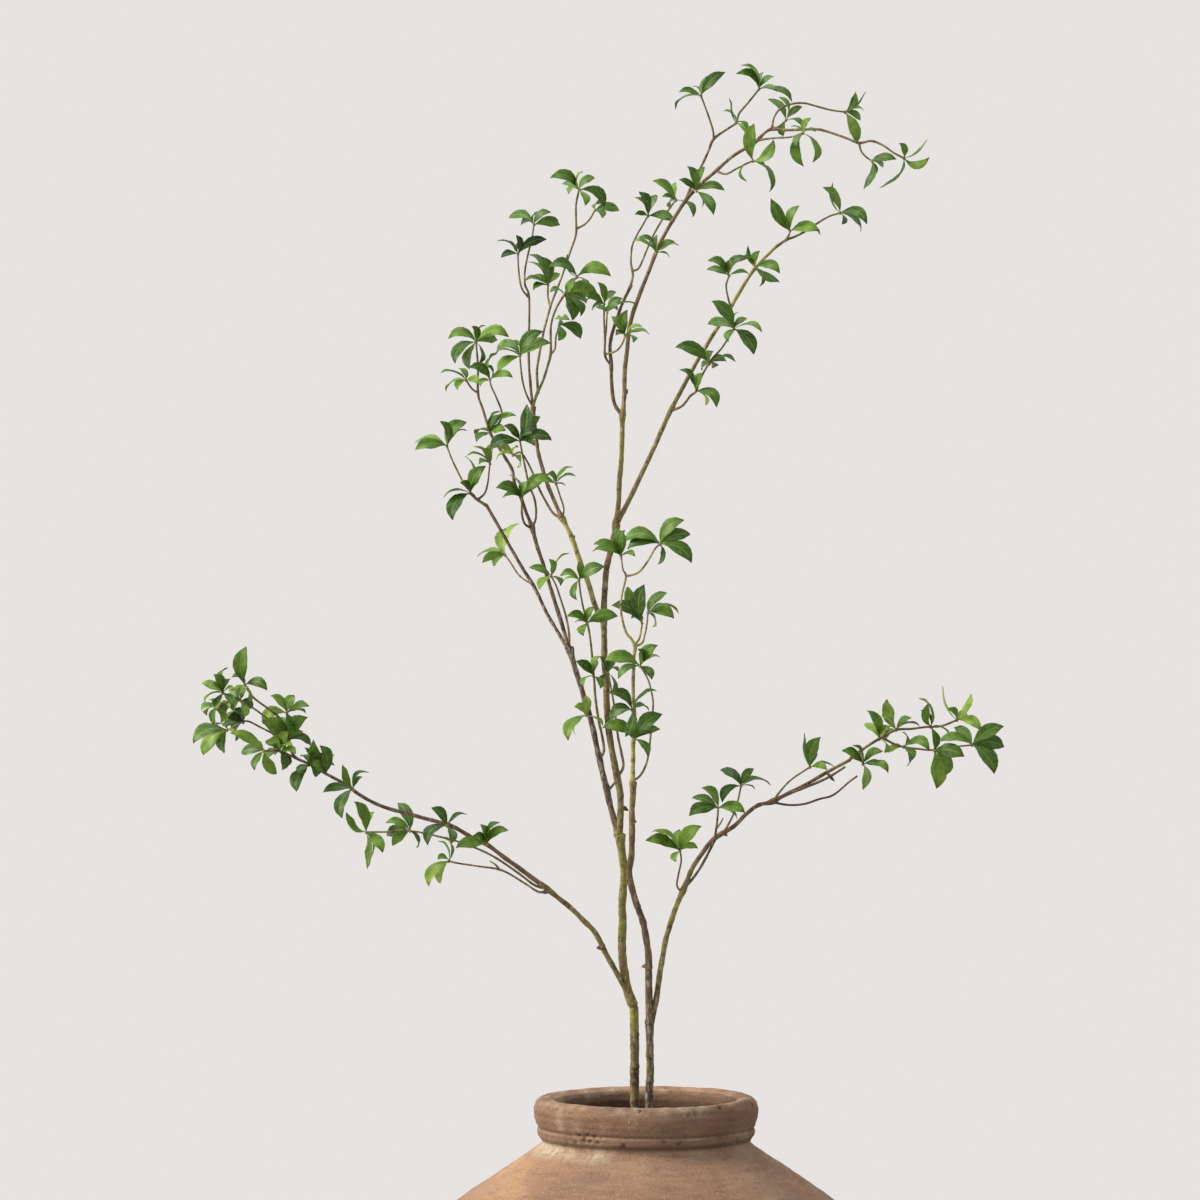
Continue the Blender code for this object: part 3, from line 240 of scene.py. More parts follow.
# Each limb: its diameters at both ends, the depth that it ends at, and the places that it runs
# through, as (across, up). The first limb is the trunk, and each other one grows from those before.
LEFT_TRUNK_DEPTH = 0.0
LEFT_LIMBS = {
    "trunk": (9.6, 7.8, 0, [
        (-11, STEM_FOOT), (-11, 0), (-12.5, 80), (-15, 95), (-18, 110), (-21, 125), (-23, 140),
        (-24, 160), (-24, 185), (-23, 205), (-22, 228), (-24, 245), (-27, 262)]),
    "dark_strand": (6.2, 5.4, 20, [
        (-27, 262), (-31, 275), (-36, 293), (-39, 307), (-42, 320), (-46, 338), (-52, 362), (-58, 385),
        (-66, 412), (-73, 437), (-77, 449)]),
    "middle_strand": (6.8, 5.8, 14, [
        (-27, 262), (-25, 277), (-25, 300), (-28, 318), (-31, 333), (-35, 352), (-38, 378), (-40, 408),
        (-42, 440), (-42.5, 478), (-41, 505), (-40, 527), (-35, 548), (-30, 573)]),
    "strut": (2.6, 2.4, 1, [(-39, 306), (-35, 310), (-29, 317)]),
    "outer_branch": (3.8, 3.2, 34, [
        (-77, 449), (-84, 458), (-97, 480), (-107, 501), (-113, 513), (-124, 530), (-137, 552), (-150, 575),
        (-160, 592)]),
    "inner_branch": (4.4, 3.8, 25, [
        (-77, 449), (-83, 470), (-91, 495), (-99, 520), (-107, 545), (-114, 569)]),
    "inner_tip": (3.6, 3.2, 32, [
        (-114, 569), (-119, 583), (-125, 600), (-131, 613), (-134, 628), (-142, 641), (-151, 655)]),
    "yellow_branch": (5.6, 4.6, -5, [
        (-43, 476), (-50, 490), (-57, 511), (-64, 530), (-71, 550), (-77, 565), (-84, 579)]),
    "upper_left_branch": (4.2, 3.6, 22, [
        (-84, 579), (-92, 598), (-98, 612), (-104, 631), (-109, 652), (-113, 690)]),
    "olive_limb": (5.2, 4.6, 0, [(-30, 573), (-28, 592), (-25, 635), (-23, 681)]),
    "right_limb": (5.2, 3.2, 78, [
        (-30, 573), (-20, 590), (-10, 611), (6, 645), (22, 680), (36, 708), (52, 738), (68, 763), (84, 788),
        (100, 815), (112, 832), (130, 850)]),
    "top_limb": (4.6, 3.2, -58, [
        (-23, 681), (-22, 702), (-20, 740), (-15, 775), (-6, 803), (4, 828), (14, 853), (27, 877), (42, 900),
        (57, 915), (70, 926), (90, 943), (107, 953), (113, 958)]),
    "short_limb": (3.8, 3.0, -5, [
        (-23, 681), (-31, 692), (-34, 708), (-35, 733), (-36, 752), (-31, 772), (-24, 793), (-15, 812)]),
    "low_branch": (5.8, 3.2, -76, [
        (-16, 99), (-22, 112), (-33, 132), (-43, 149), (-52, 166), (-65, 179), (-80, 193), (-97, 207),
        (-114, 219), (-130, 231), (-156, 250), (-174, 259), (-193, 270), (-214, 277), (-237, 283),
        (-256, 288), (-272, 294), (-288, 303), (-304, 315)]),
}
RIGHT_TRUNK_DEPTH = -12.0
RIGHT_LIMBS = {
    "trunk": (8.8, 5.6, -22, [
        (3, STEM_FOOT), (3, 0), (4, 40), (4, 75), (3, 97), (2, 127), (2, 149), (-2, 169), (-8, 189),
        (-13.5, 207), (-17, 224), (-15, 242), (-14, 261), (-13.5, 290), (-13.5, 315)]),
    "upper_stem": (4.6, 3.4, -40, [(-13.5, 315), (-13.5, 337), (-12, 372), (-13, 415), (-12, 442)]),
    "low_branch": (6.2, 3.2, 38, [
        (4, 75), (10, 97), (14, 127), (19, 153), (25.5, 175), (32, 195), (36, 205), (41, 216), (47, 230),
        (58, 247), (69, 259), (88, 271), (99, 282), (112, 292), (127, 296), (158, 311.5), (181, 325),
        (204, 337.5)]),
    "twin_strand": (2.8, 2.8, 12, [(37, 208), (50, 223), (59, 238), (70, 260)]),
    "second_strand": (3.0, 2.4, 30, [(128, 297), (142, 303), (165, 312), (181, 319), (199, 330)]),
    "lower_twig": (2.4, 2.0, 50, [(124, 296), (142, 292), (158, 293), (173, 298), (187, 302), (203, 315),
                                  (211, 321)]),
}

# Each spray: the plant that it grows on, its twigs and its whorls of leaves. A twig has the same
# fields as a limb, and the first one grows from the wood. A whorl has its place, the way that its
# leaves lean (-1 forward, 1 back, 0 by turns), and the tips of the leaves that are seen from their
# faces and from their edges. A third number is how far the leaf arches up, in millimetres.
SPRAYS = {
    "spray_top_left": ("left", [
        (3.0, 2.0, -12, [(40, 897), (44, 907), (50, 920), (62, 945), (68, 958), (80, 967), (90, 974),
                         (93, 983), (101, 993), (113, 1008)]),
        (2.2, 1.8, -30, [(68, 958), (67, 967), (63, 980), (58, 993), (55, 1001)]),
    ], [
        (55, 1001, 0, [(33, 1006), (79, 1025), (47, 1012)], [(27, 989), (69, 1024)]),
        (113, 1008, 0, [(90, 1024, 8), (129, 1022), (117, 1026)], [(95, 1033, 8), (148, 996), (131, 1006)]),
        (90, 974, 0, [(108, 957)], [(86, 999, -3), (78, 987), (101, 969)]),
    ]),
    "spray_top_right": ("left", [
        (3.0, 2.0, -88, [(113, 958), (120, 965), (127, 968), (140, 967), (168, 968), (180, 966), (200, 959),
                         (213, 954), (225, 956), (236, 952), (248, 944), (258, 939)]),
        (2.2, 2.0, -46, [(129, 968), (135, 972), (140, 977)]),
        (2.2, 1.8, -38, [(126, 968), (128, 979), (134, 988), (145, 993), (158, 994), (170, 991), (185, 987),
                         (199, 985)]),
        (2.2, 1.8, -80, [(213, 954), (215, 946), (220, 940), (226, 936)]),
    ], [
        (140, 977, 0, [(121, 1000), (157, 991), (137, 959)], [(134, 1002), (158, 970)]),
        (200, 985, 0, [(211, 953, 3), (216, 976), (209, 1005, -4)], [(219, 988), (218, 1007, -5),
                                                                     (205, 961)]),
        (226, 936, 0, [(217, 909, -5), (238, 929), (250, 938), (228, 921)], [(243, 941)]),
        (259, 939, 0, [(254, 954), (283, 940, -8)], [(280, 959, -5), (232, 912, -9), (244, 918, -6)]),
    ]),
    "spray_top_middle": ("left", [
        (2.2, 1.8, -82, [(105, 952), (115, 957), (130, 959), (145, 960), (157, 964)]),
    ], [
        (157, 965, 0, [(164, 979), (158, 931, -9), (150, 950)], [(170, 966), (168, 934, 8), (145, 971)]),
    ]),
    "spray_top_low": ("left", [
        (2.2, 1.8, -72, [(70, 926), (80, 923), (90, 928), (100, 933), (107, 936)]),
    ], [
        (108, 937, -1, [(108, 974), (127, 957, -6), (120, 930)], [(100, 914, 9), (125, 904, 9)]),
    ]),
    "spray_top_limb": ("left", [
        (2.4, 2.2, -60, [(49, 906), (50, 906)]),
    ], [
        (50, 906, -1, [(42, 931), (59, 931), (68, 883), (80, 907, 5), (33, 918)], [(57, 889)]),
    ]),
    "spray_top_limb_low": ("left", [
        (2.4, 2.2, -46, [(9, 841), (10, 844)]),
    ], [
        (10, 844, -1, [(28, 856), (11, 863)], [(-7, 862), (-14, 857), (34, 853), (25, 840)]),
    ]),
    "spray_short_limb": ("left", [
        (2.4, 1.8, 2, [(-15, 812), (-13, 822), (-15, 834), (-14, 850), (-9, 862), (-3, 872), (2, 881)]),
        (2.2, 1.8, 6, [(-13.5, 826), (-7, 829), (0, 845), (7, 861), (15, 875), (24, 889), (30, 897)]),
    ], [
        (30, 898, 0, [(7, 917), (30, 916), (16, 901)], [(24, 889), (48, 880, 6)]),
        (2, 881, 0, [(-6, 906), (12, 903), (-11, 883), (29, 876)], [(-11, 901)]),
    ]),
    "spray_upper_centre": ("left", [
        (2.4, 1.8, -12, [(-35, 731), (-41, 741), (-41, 757), (-42, 775), (-42, 793)]),
        (2.2, 1.8, -24, [(-41, 757), (-40, 766), (-39, 784)]),
        (2.2, 1.8, -36, [(-38, 743), (-30, 746), (-24, 753), (-21, 761)]),
    ], [
        (-42, 793, 0, [(-48, 815), (-29, 806), (-63, 803), (-55, 787)], [(-62, 797)]),
        (-39, 784, 0, [(-24, 799), (-51, 791)], [(-7, 793), (-28, 788)]),
        (-21, 761, -1, [(-19, 787), (-35, 781), (-30, 763)], [(-3, 772), (5, 764), (-12, 755)]),
    ]),
    "spray_right_limb_tip": ("left", [
        (2.8, 1.8, 84, [(130, 850), (140, 857), (150, 861), (161, 867), (173, 875), (184, 881), (194, 884)]),
        (2.4, 2.0, 74, [(140, 857), (143, 862), (144, 866)]),
    ], [
        (144, 866, 0, [(126, 899, -3), (125, 882), (152, 892), (173, 867)], [(177, 864)]),
        (194, 884, 0, [(178, 911), (221, 873, 8), (197, 873)], [(189, 915, -7), (216, 865)]),
    ]),
    "spray_right_limb_whorl": ("left", [
        (2.4, 2.2, 56, [(108, 828), (109, 830)]),
    ], [
        (109, 830, -1, [(134, 824, 6), (134, 816, -3), (113, 846)], [(103, 852, -4), (97, 842),
                                                                     (114, 809, 6)]),
    ]),
    "spray_right_limb_twig": ("left", [
        (2.2, 1.8, 34, [(85, 790), (82, 799), (80, 811), (83, 821)]),
    ], [
        (84, 822, -1, [(62, 838, 5), (60, 828), (104, 839, 8), (87, 838)], [(104, 823)]),
    ]),
    "spray_right_limb_low": ("left", [
        (2.8, 1.8, 10, [(26, 686), (36, 691), (44, 701), (50, 706), (53, 716), (59, 727), (66, 738),
                        (75, 748), (83, 760), (88, 768)]),
    ], [
        (88, 768, 0, [(66, 797), (60, 774), (102, 779), (108, 743, 5), (82, 756)], [(117, 766, 6),
                                                                                    (92, 787)]),
        (61, 735, 0, [(29, 751, 6), (66, 746), (55, 727), (82, 736, 4)], [(91, 737), (50, 748), (67, 730)]),
        (50, 706, 0, [(57, 724), (44, 720), (71, 690, 8)], [(34, 729), (61, 692, 4)]),
    ]),
    "spray_upper_left_thin": ("left", [
        (2.2, 1.8, 8, [(-113, 690), (-119, 701), (-123, 713), (-125, 728), (-126, 741)]),
    ], [
        (-126, 741, 0, [(-103, 766, 6), (-95, 755), (-151, 749, 8), (-149, 726)], [(-152, 746, 4),
                                                                                   (-133, 757)]),
    ]),
    "spray_upper_left_straight": ("left", [
        (3.0, 1.8, 42, [(-113, 690), (-115, 706), (-117, 740), (-117, 798), (-121, 812), (-121, 826),
                        (-118, 842), (-114, 858), (-112, 872)]),
        (2.2, 1.8, 30, [(-117, 800), (-124, 808), (-127, 822), (-128, 843)]),
    ], [
        (-112, 873, 0, [(-95, 885, 5), (-84, 872), (-139, 879, 7)], [(-125, 873), (-107, 886)]),
        (-128, 844, 0, [(-129, 862), (-145, 840), (-98, 858, 5)], [(-149, 857), (-123, 857)]),
    ]),
    "spray_upper_left": ("left", [
        (3.0, 2.2, 4, [(-113, 690), (-109, 703), (-103, 716), (-98, 732), (-95, 745), (-95, 770), (-91, 786),
                       (-86, 796), (-82, 802)]),
        (2.8, 2.0, -12, [(-109, 704), (-109, 725), (-107, 740), (-104, 757), (-100, 774), (-94, 795),
                         (-88, 811), (-82, 827), (-76, 845), (-70, 863), (-70, 880), (-70, 893), (-67, 907)]),
        (2.2, 1.8, 4, [(-68, 868), (-62, 872), (-56, 878), (-51, 887)]),
        (2.0, 1.8, 0, [(-95, 742), (-91, 748), (-90, 760), (-87, 772)]),
        (2.2, 2.0, 22, [(-96, 790), (-98, 800), (-98, 812)]),
        (2.2, 2.0, -16, [(-84, 800), (-77, 810), (-69, 820)]),
    ], [
        (-67, 908, 0, [(-96, 920, 8), (-50, 920, 4), (-60, 892), (-41, 889, 9), (-85, 914)],
         [(-64, 927), (-78, 904)]),
        (-50, 888, 0, [(-25, 887, 3), (-43, 880)], [(-44, 894)]),
        (-98, 812, 0, [(-104, 841), (-113, 808), (-116, 821), (-85, 824)],
         [(-117, 845), (-119, 837), (-122, 817)]),
        (-69, 821, 0, [(-35, 821, 9), (-97, 832, 7), (-78, 803)], [(-76, 843, -7), (-60, 808)]),
        (-82, 802, 0, [(-48, 802, 8), (-57, 794), (-73, 777, 4)], [(-64, 781), (-96, 806)]),
        (-86, 773, 0, [(-87, 757), (-64, 757, 6)], [(-90, 779), (-77, 778)]),
    ]),
    "spray_left_olive": ("left", [
        (2.8, 2.0, 14, [(-84, 579), (-93, 584), (-102, 599), (-108, 611), (-114, 626), (-120, 638),
                        (-126, 645), (-133, 642)]),
    ], [
        (-134, 642, 0, [(-147, 650), (-128, 651)], [(-151, 637, 5), (-127, 629)]),
    ]),
    "spray_left_thin": ("left", [
        (2.2, 1.8, -20, [(-84, 579), (-82, 588), (-86, 601), (-90, 613)]),
    ], [
        (-90, 614, -1, [(-113, 615, 4), (-98, 624)], [(-73, 632, 4), (-70, 622), (-80, 611)]),
    ]),
    "spray_left_dark": ("left", [
        (2.6, 2.0, -10, [(-114, 569), (-110, 579), (-111, 596), (-117, 612), (-122, 634), (-126, 656)]),
    ], [
        (-126, 657, -1, [(-120, 693, -4), (-105, 681), (-93, 657, 6), (-157, 648, 5), (-142, 672),
                         (-111, 652)], [(-113, 664)]),
    ]),
    "spray_left_front": ("left", [
        (2.6, 2.2, 8, [(-114, 569), (-121, 573), (-124, 583), (-124, 599)]),
    ], [
        (-124, 600, -1, [(-150, 610, 5), (-97, 623, 4), (-118, 615)], [(-145, 600, 4), (-137, 624, 4)]),
    ]),
    "spray_left_cluster": ("left", [
        (3.0, 2.0, 46, [(-151, 655), (-156, 664), (-159, 674), (-164, 690), (-168, 703), (-168, 733),
                        (-170, 755)]),
        (2.2, 1.8, 36, [(-168, 704), (-174, 708), (-180, 717)]),
        (2.2, 1.8, 18, [(-156, 664), (-147, 674), (-144, 684), (-150, 700), (-155, 711), (-156, 717)]),
    ], [
        (-156, 664, 0, [(-170, 656), (-141, 667), (-144, 683)], [(-172, 662, 5), (-146, 688), (-130, 683)]),
        (-170, 755, 0, [(-198, 759, 8), (-173, 771), (-147, 757), (-136, 761, 8), (-192, 734, 7),
                        (-178, 728)], [(-161, 773), (-166, 733)]),
        (-180, 718, 0, [(-189, 708), (-188, 730), (-167, 714)], [(-206, 726, 4), (-201, 706, 5)]),
        (-156, 717, 0, [(-177, 730, 6), (-133, 720, 5), (-166, 712)], [(-150, 746), (-158, 732)]),
    ]),
    "spray_left_outer": ("left", [
        (3.0, 2.2, 26, [(-160, 592), (-168, 597), (-176, 604)]),
        (2.4, 1.8, 50, [(-172, 600), (-181, 612), (-190, 629), (-195, 640), (-199, 651)]),
        (2.2, 1.8, 12, [(-168, 597), (-161, 604), (-158, 615), (-157, 625), (-156, 633)]),
    ], [
        (-199, 652, 0, [(-205, 677, 5), (-178, 676, 7), (-231, 648)], [(-233, 656, 5), (-178, 669, 5)]),
        (-176, 604, 0, [(-194, 577, 7), (-161, 631), (-185, 615)], [(-204, 600, 5), (-180, 643)]),
        (-156, 634, -1, [(-167, 634), (-153, 655), (-164, 649)], [(-180, 643, 5), (-173, 652)]),
    ]),
    "spray_left_back": ("left", [
        (2.2, 1.8, 48, [(-113, 513), (-121, 517), (-128, 523), (-134, 532), (-141, 542)]),
    ], [
        (-141, 542, 1, [(-140, 571, 5), (-164, 534, 4), (-154, 530)], [(-170, 542, 4), (-127, 575)]),
    ]),
    "spray_left_right_twig": ("left", [
        (2.6, 1.8, 4, [(-77, 449), (-77, 462), (-80, 480), (-85, 497), (-90, 512), (-95, 521)]),
    ], [
        (-95, 521, -1, [(-96, 538), (-118, 530), (-107, 508), (-85, 512)], [(-77, 546, 4)]),
    ]),
    "spray_inner_left": ("left", [
        (3.0, 2.0, -22, [(-46, 338), (-42, 346), (-44, 362), (-47, 375), (-50, 395), (-52, 421), (-54, 440),
                         (-57, 466), (-62, 485), (-65, 501), (-67, 517)]),
    ], [
        (-67, 517, -1, [(-86, 522, 5), (-70, 497, 4), (-42, 531, 3), (-68, 536)], [(-84, 517)]),
        (-58, 474, -1, [(-79, 481, 5), (-52, 490), (-63, 462), (-28, 481, 4)], [(-72, 475)]),
        (-52, 421, 0, [(-70, 436), (-48, 438), (-45, 409)], [(-64, 411), (-46, 442)]),
    ]),
    "spray_inner_left_low": ("left", [
        (2.4, 2.2, -2, [(-58, 384), (-60, 382)]),
    ], [
        (-60, 382, -1, [(-71, 391), (-79, 357, 6), (-61, 403)], [(-72, 362, 5), (-42, 372, 2)]),
    ]),
    "spray_inner_olive": ("left", [
        (3.0, 2.0, -4, [(-28, 320), (-23, 330), (-25, 345), (-28, 362), (-33, 398), (-38, 424)]),
    ], [
        (-38, 424, -1, [(-46, 441), (-28, 440), (-48, 411)], [(-33, 405), (-27, 427)]),
    ]),
    "spray_right_crown": ("right", [
        (3.0, 1.8, -58, [(-12, 442), (-11, 450), (-15, 458), (-20, 464), (-24, 480), (-25, 492), (-24, 503),
                         (-20, 521), (-23, 527), (-25, 541)]),
        (2.2, 1.8, -50, [(-20, 521), (-14, 522), (-6, 526), (3, 538), (9, 548), (14, 553)]),
        (2.2, 1.8, -34, [(-11.5, 452), (-7, 458), (-5, 467), (-4, 474)]),
        (2.2, 1.8, -42, [(-11, 451), (-4, 454), (-1, 464), (1, 475), (2, 484)]),
    ], [
        (-25, 541, -1, [(-52, 554, 4), (-32, 570), (-22, 567), (-11, 542)], [(-55, 547, 4)]),
        (14, 553, 0, [(-24, 556, 9), (-21, 549, 5), (38, 578, 6), (46, 563), (46, 534, 7), (10, 533, -6)],
         [(28, 561)]),
        (-4, 474, 0, [(-35, 492, 7), (-18, 512, -3), (-2, 513)], [(-15, 480)]),
        (2, 484, 0, [(28, 479, 6), (22, 506, 4), (10, 495)], [(34, 485, 8), (8, 470)]),
    ]),
    "spray_right_twig": ("right", [
        (2.4, 2.0, -26, [(-13, 316), (-6, 321), (0, 332), (3, 345), (5, 365), (7, 385)]),
        (2.0, 1.8, -60, [(7, 383), (7, 397), (3, 415), (-3, 427), (-6, 431)]),
    ], [
        (-6, 431, -1, [(-42, 437, 6), (-29, 418, 5), (11, 452), (6, 418)], [(15, 441, 4), (-7, 449)]),
    ]),
    "spray_right_stem_low": ("right", [
        (2.6, 2.4, -40, [(-13, 353), (-11, 358)]),
    ], [
        (-11, 358, -1, [(-44, 370, 7), (16, 384), (15, 369), (2, 341, 4), (-21, 366)], [(-3, 376)]),
    ]),
    "spray_right_stem_high": ("right", [
        (2.6, 2.4, -52, [(-12.5, 384), (-14, 387)]),
    ], [
        (-14, 387, 0, [(-38, 405, 7), (-21, 361, -4), (-35, 390), (-38, 376, 5)], [(11, 408, 5),
                                                                                   (4, 387, 5)]),
    ]),
    "spray_low_left_fork": ("left", [
        (2.4, 2.2, -62, [(-160, 252), (-159, 253)]),
    ], [
        (-159, 253, -1, [(-165, 273), (-157, 271), (-138, 268, 5), (-190, 250, 3), (-172, 262)],
         [(-147, 276)]),
    ]),
    "spray_low_left_twig": ("left", [
        (2.4, 1.8, -16, [(-98, 207), (-107, 205), (-122, 214), (-145, 227), (-170, 231), (-190, 234),
                         (-197, 236)]),
        (2.2, 1.4, -18, [(-146, 227), (-150, 232), (-156, 236)]),
    ], [
        (-197, 236, 0, [(-218, 211, 6), (-206, 212, 5), (-208, 239)], [(-202, 262), (-207, 258)]),
    ]),
    "spray_low_left_middle": ("left", [
        (2.4, 2.2, -78, [(-200, 272), (-199, 271)]),
    ], [
        (-199, 270, -1, [(-214, 290), (-219, 252, 8), (-194, 254)], [(-178, 284, 4), (-223, 256, 6)]),
    ]),
    "spray_low_left_strand": ("left", [
        (2.6, 1.8, -34, [(-99, 208), (-112, 212), (-132, 227), (-153, 241), (-173, 250), (-193, 257),
                         (-222, 264), (-236, 266), (-260, 265), (-280, 265)]),
    ], [
        (-236, 266, 1, [(-261, 275, 5), (-261, 261), (-254, 251), (-249, 296)], [(-228, 248)]),
        (-280, 265, 0, [(-291, 296), (-298, 285, -6), (-272, 287), (-263, 245, 3)],
         [(-281, 228, -5), (-276, 238)]),
    ]),
    "spray_low_left_node": ("left", [
        (2.6, 2.2, -88, [(-292, 306), (-293, 308)]),
    ], [
        (-293, 308, -1, [(-302, 332, -3), (-284, 321), (-324, 305), (-305, 279, 6)], [(-276, 326, 7)]),
    ]),
    "spray_far_left": ("left", [
        (3.2, 2.2, -84, [(-304, 315), (-319, 323), (-337, 333), (-350, 339), (-356, 350), (-358, 366),
                        (-359, 384)]),
        (2.4, 2.0, -104, [(-350, 339), (-366, 346), (-382, 346)]),
        (2.6, 2.0, -92, [(-358, 366), (-368, 381), (-390, 397), (-396, 404), (-401, 412)]),
        (2.2, 1.8, -112, [(-357, 358), (-370, 371), (-382, 381), (-402, 395), (-412, 400), (-423, 404)]),
        (2.2, 1.8, -104, [(-410, 399), (-420, 395), (-429, 390)]),
        (2.2, 1.8, -70, [(-357, 354), (-370, 362), (-384, 369), (-400, 376), (-410, 371), (-419, 367)]),
    ], [
        (-320, 324, 0, [(-331, 357, -7), (-335, 334)], [(-312, 343, 3)]),
        (-337, 332, 0, [(-346, 343), (-328, 343), (-351, 306, 4)], [(-352, 318, 3)]),
        (-357, 357, 0, [(-339, 380, 5), (-334, 351, 6), (-372, 372), (-378, 353)], []),
        (-359, 384, 0, [(-375, 402), (-351, 403), (-337, 392, 3), (-385, 372, 7), (-356, 358)],
         [(-340, 385, 3)]),
        (-366, 346, 0, [(-382, 356), (-363, 327), (-350, 344)], [(-371, 362)]),
        (-382, 346, 0, [(-416, 366, 3), (-392, 327), (-368, 323, -4), (-406, 343)], [(-400, 357)]),
        (-401, 412, 0, [(-400, 451, 5), (-379, 407, 6), (-410, 398)], [(-414, 421), (-399, 395)]),
        (-405, 397, 0, [(-421, 398, 3), (-403, 380), (-412, 386)], [(-402, 409)]),
        (-423, 404, 0, [(-432, 423), (-415, 420), (-445, 414)], [(-419, 432), (-443, 394, 5)]),
        (-429, 390, 0, [(-445, 388, 3), (-432, 371), (-418, 384)], [(-440, 382)]),
        (-419, 367, 0, [(-454, 354, 7), (-444, 341, 5), (-423, 342)], [(-409, 356), (-431, 372)]),
        (-403, 375, 0, [(-418, 379, 3)], [(-413, 386)]),
    ]),
    "spray_low_right_fork": ("right", [
        (2.2, 1.8, -12, [(36, 205), (31, 211), (32, 221), (35, 236), (34, 246)]),
    ], [
        (34, 246, 0, [(-1, 258), (34, 269), (55, 271, 5), (53, 249, 4), (29, 236)], [(6, 267)]),
    ]),
    "spray_low_right_near": ("right", [
        (2.4, 2.0, -10, [(69, 259), (71, 275), (72, 289)]),
        (2.2, 1.4, -6, [(70, 268), (74, 273), (77, 279)]),
    ], [
        (72, 290, -1, [(56, 310, 5), (45, 300), (43, 282, 4), (99, 285, 4)], [(93, 278)]),
    ]),
    "spray_low_right_up": ("right", [
        (2.2, 1.8, 16, [(77, 265), (83, 274), (88, 284), (92, 297), (95, 311)]),
    ], [
        (96, 312, 1, [(73, 329), (108, 329), (76, 294, 7), (84, 323)], [(126, 313, 6), (110, 308)]),
    ]),
    "spray_low_right_middle": ("right", [
        (2.2, 1.8, -8, [(127, 296), (133, 304), (145, 317), (164, 330)]),
    ], [
        (164, 330, -1, [(174, 360), (181, 328), (172, 344)], [(161, 364, -5), (190, 330)]),
    ]),
    "spray_low_right_far": ("right", [
        (3.0, 2.0, 52, [(204, 337.5), (213, 345), (226, 354), (236, 360), (250, 367), (265, 368), (279, 370),
                        (295, 371), (311, 377)]),
        (2.4, 2.0, 26, [(213, 345), (216, 340), (217, 333)]),
        (2.4, 1.8, 26, [(236, 360), (246, 354), (258, 350), (274, 348), (288, 347), (306, 350), (326, 352)]),
    ], [
        (217, 333, -1, [(196, 347), (237, 347, 4), (238, 331), (216, 308, -5)], [(243, 325), (207, 353)]),
        (233, 359, 0, [(222, 387), (217, 374), (244, 371)], [(240, 344)]),
        (250, 368, 0, [(243, 399, -5), (265, 380), (236, 357)], [(235, 381), (274, 372)]),
        (258, 350, 0, [(240, 344), (267, 338), (284, 347, 8)], [(262, 330), (257, 366)]),
        (285, 370, 0, [(283, 393, -5), (289, 347)], [(274, 401), (304, 362, 4), (275, 388)]),
        (288, 347, 0, [(291, 308, 3), (299, 319, 7), (318, 341, 3)], []),
        (311, 377, 0, [(303, 389), (335, 367, 5), (324, 382)], [(298, 412, -6), (323, 404, -5)]),
        (326, 352, 0, [(358, 371, 4), (360, 350, 4), (349, 323, 5), (292, 356, 6), (307, 371)],
         [(353, 328, 6)]),
    ]),
}

# The knob at each whorl, from below its hub to above it
KNOB_FOOT = (0.0, 0.0, 2.2)
KNOB_TOP = (0.0, 0.0, 2.4)
KNOB_RADIUS = 1.7
KNOB_TONE = 0.8

# Buds and short spurs on the wood: diameter, and where they start and end, as (across, up)
LEFT_BUDS = [(4.0, (-43, 150), (-50, 149)), (3.6, (-20, 702), (-18, 708)), (4.0, (-25, 291), (-17, 286)),
             (3.0, (-74, 557), (-71, 562)), (3.0, (-97, 206), (-103, 203))]
RIGHT_BUDS = [(3.6, (2, 132), (-5, 130)), (3.2, (-9, 190), (-5, 192)), (3.4, (-14, 276), (-9, 275)),
              (3.2, (181, 324), (189, 315)), (3.2, (77, 264), (82, 261))]

# Tones of the wood from one end of a limb to the other: 0 grey brown, 0.25 dark brown, 0.5 reddish
# brown, 0.75 olive brown and 1 yellow green
LIMB_TONES = {
    "left": {
        "trunk": (0.5, 0.74), "dark_strand": (0.3, 0.2), "middle_strand": (0.66, 0.62),
        "strut": (0.3, 0.4), "outer_branch": (0.2, 0.32), "inner_branch": (0.22, 0.3),
        "inner_tip": (0.35, 0.5), "yellow_branch": (0.86, 0.92), "upper_left_branch": (0.6, 0.35),
        "olive_limb": (0.66, 0.68), "right_limb": (0.5, 0.9), "top_limb": (0.62, 0.45),
        "short_limb": (0.4, 0.42), "low_branch": (0.66, 0.3)},
    "right": {
        "trunk": (0.08, 0.5), "upper_stem": (1.0, 0.7), "low_branch": (0.64, 0.4),
        "twin_strand": (0.3, 0.4), "second_strand": (0.25, 0.4), "lower_twig": (0.4, 0.45)},
}
TWIG_TONES = (0.55, 0.68)
SPRAY_TWIG_TONES = {
    "spray_upper_left": (0.85, 0.6), "spray_far_left": (0.4, 0.7), "spray_right_crown": (0.95, 0.8),
    "spray_right_twig": (0.85, 0.75), "spray_top_left": (0.6, 0.66), "spray_inner_left": (0.7, 0.6),
}

# Ring joints on the stems and patches of lime-green growth on the bark, seen at (across, up)
LEFT_RINGS = [(-12, 28), (-12, 60), (-14, 90), (-38, 505), (-40, 527), (-36, 755), (-43, 149)]
RIGHT_RINGS = [(4, 14), (4, 39), (4, 72), (2, 127), (-8, 189), (-13.5, 276)]
LEFT_MOSS = [(-13, 84, 10, 0.9), (-23, 170, 26, 0.4), (-24, 235, 30, 0.55), (-70, 550, 24, 0.5),
             (-24, 640, 40, 0.4), (90, 800, 40, 0.45), (-52, 166, 20, 0.35)]
RIGHT_MOSS = [(30, 190, 15, 0.9), (4, 30, 10, 0.3), (-14, 300, 26, 0.35), (17, 145, 14, 0.4),
              (200, 335, 24, 0.4)]

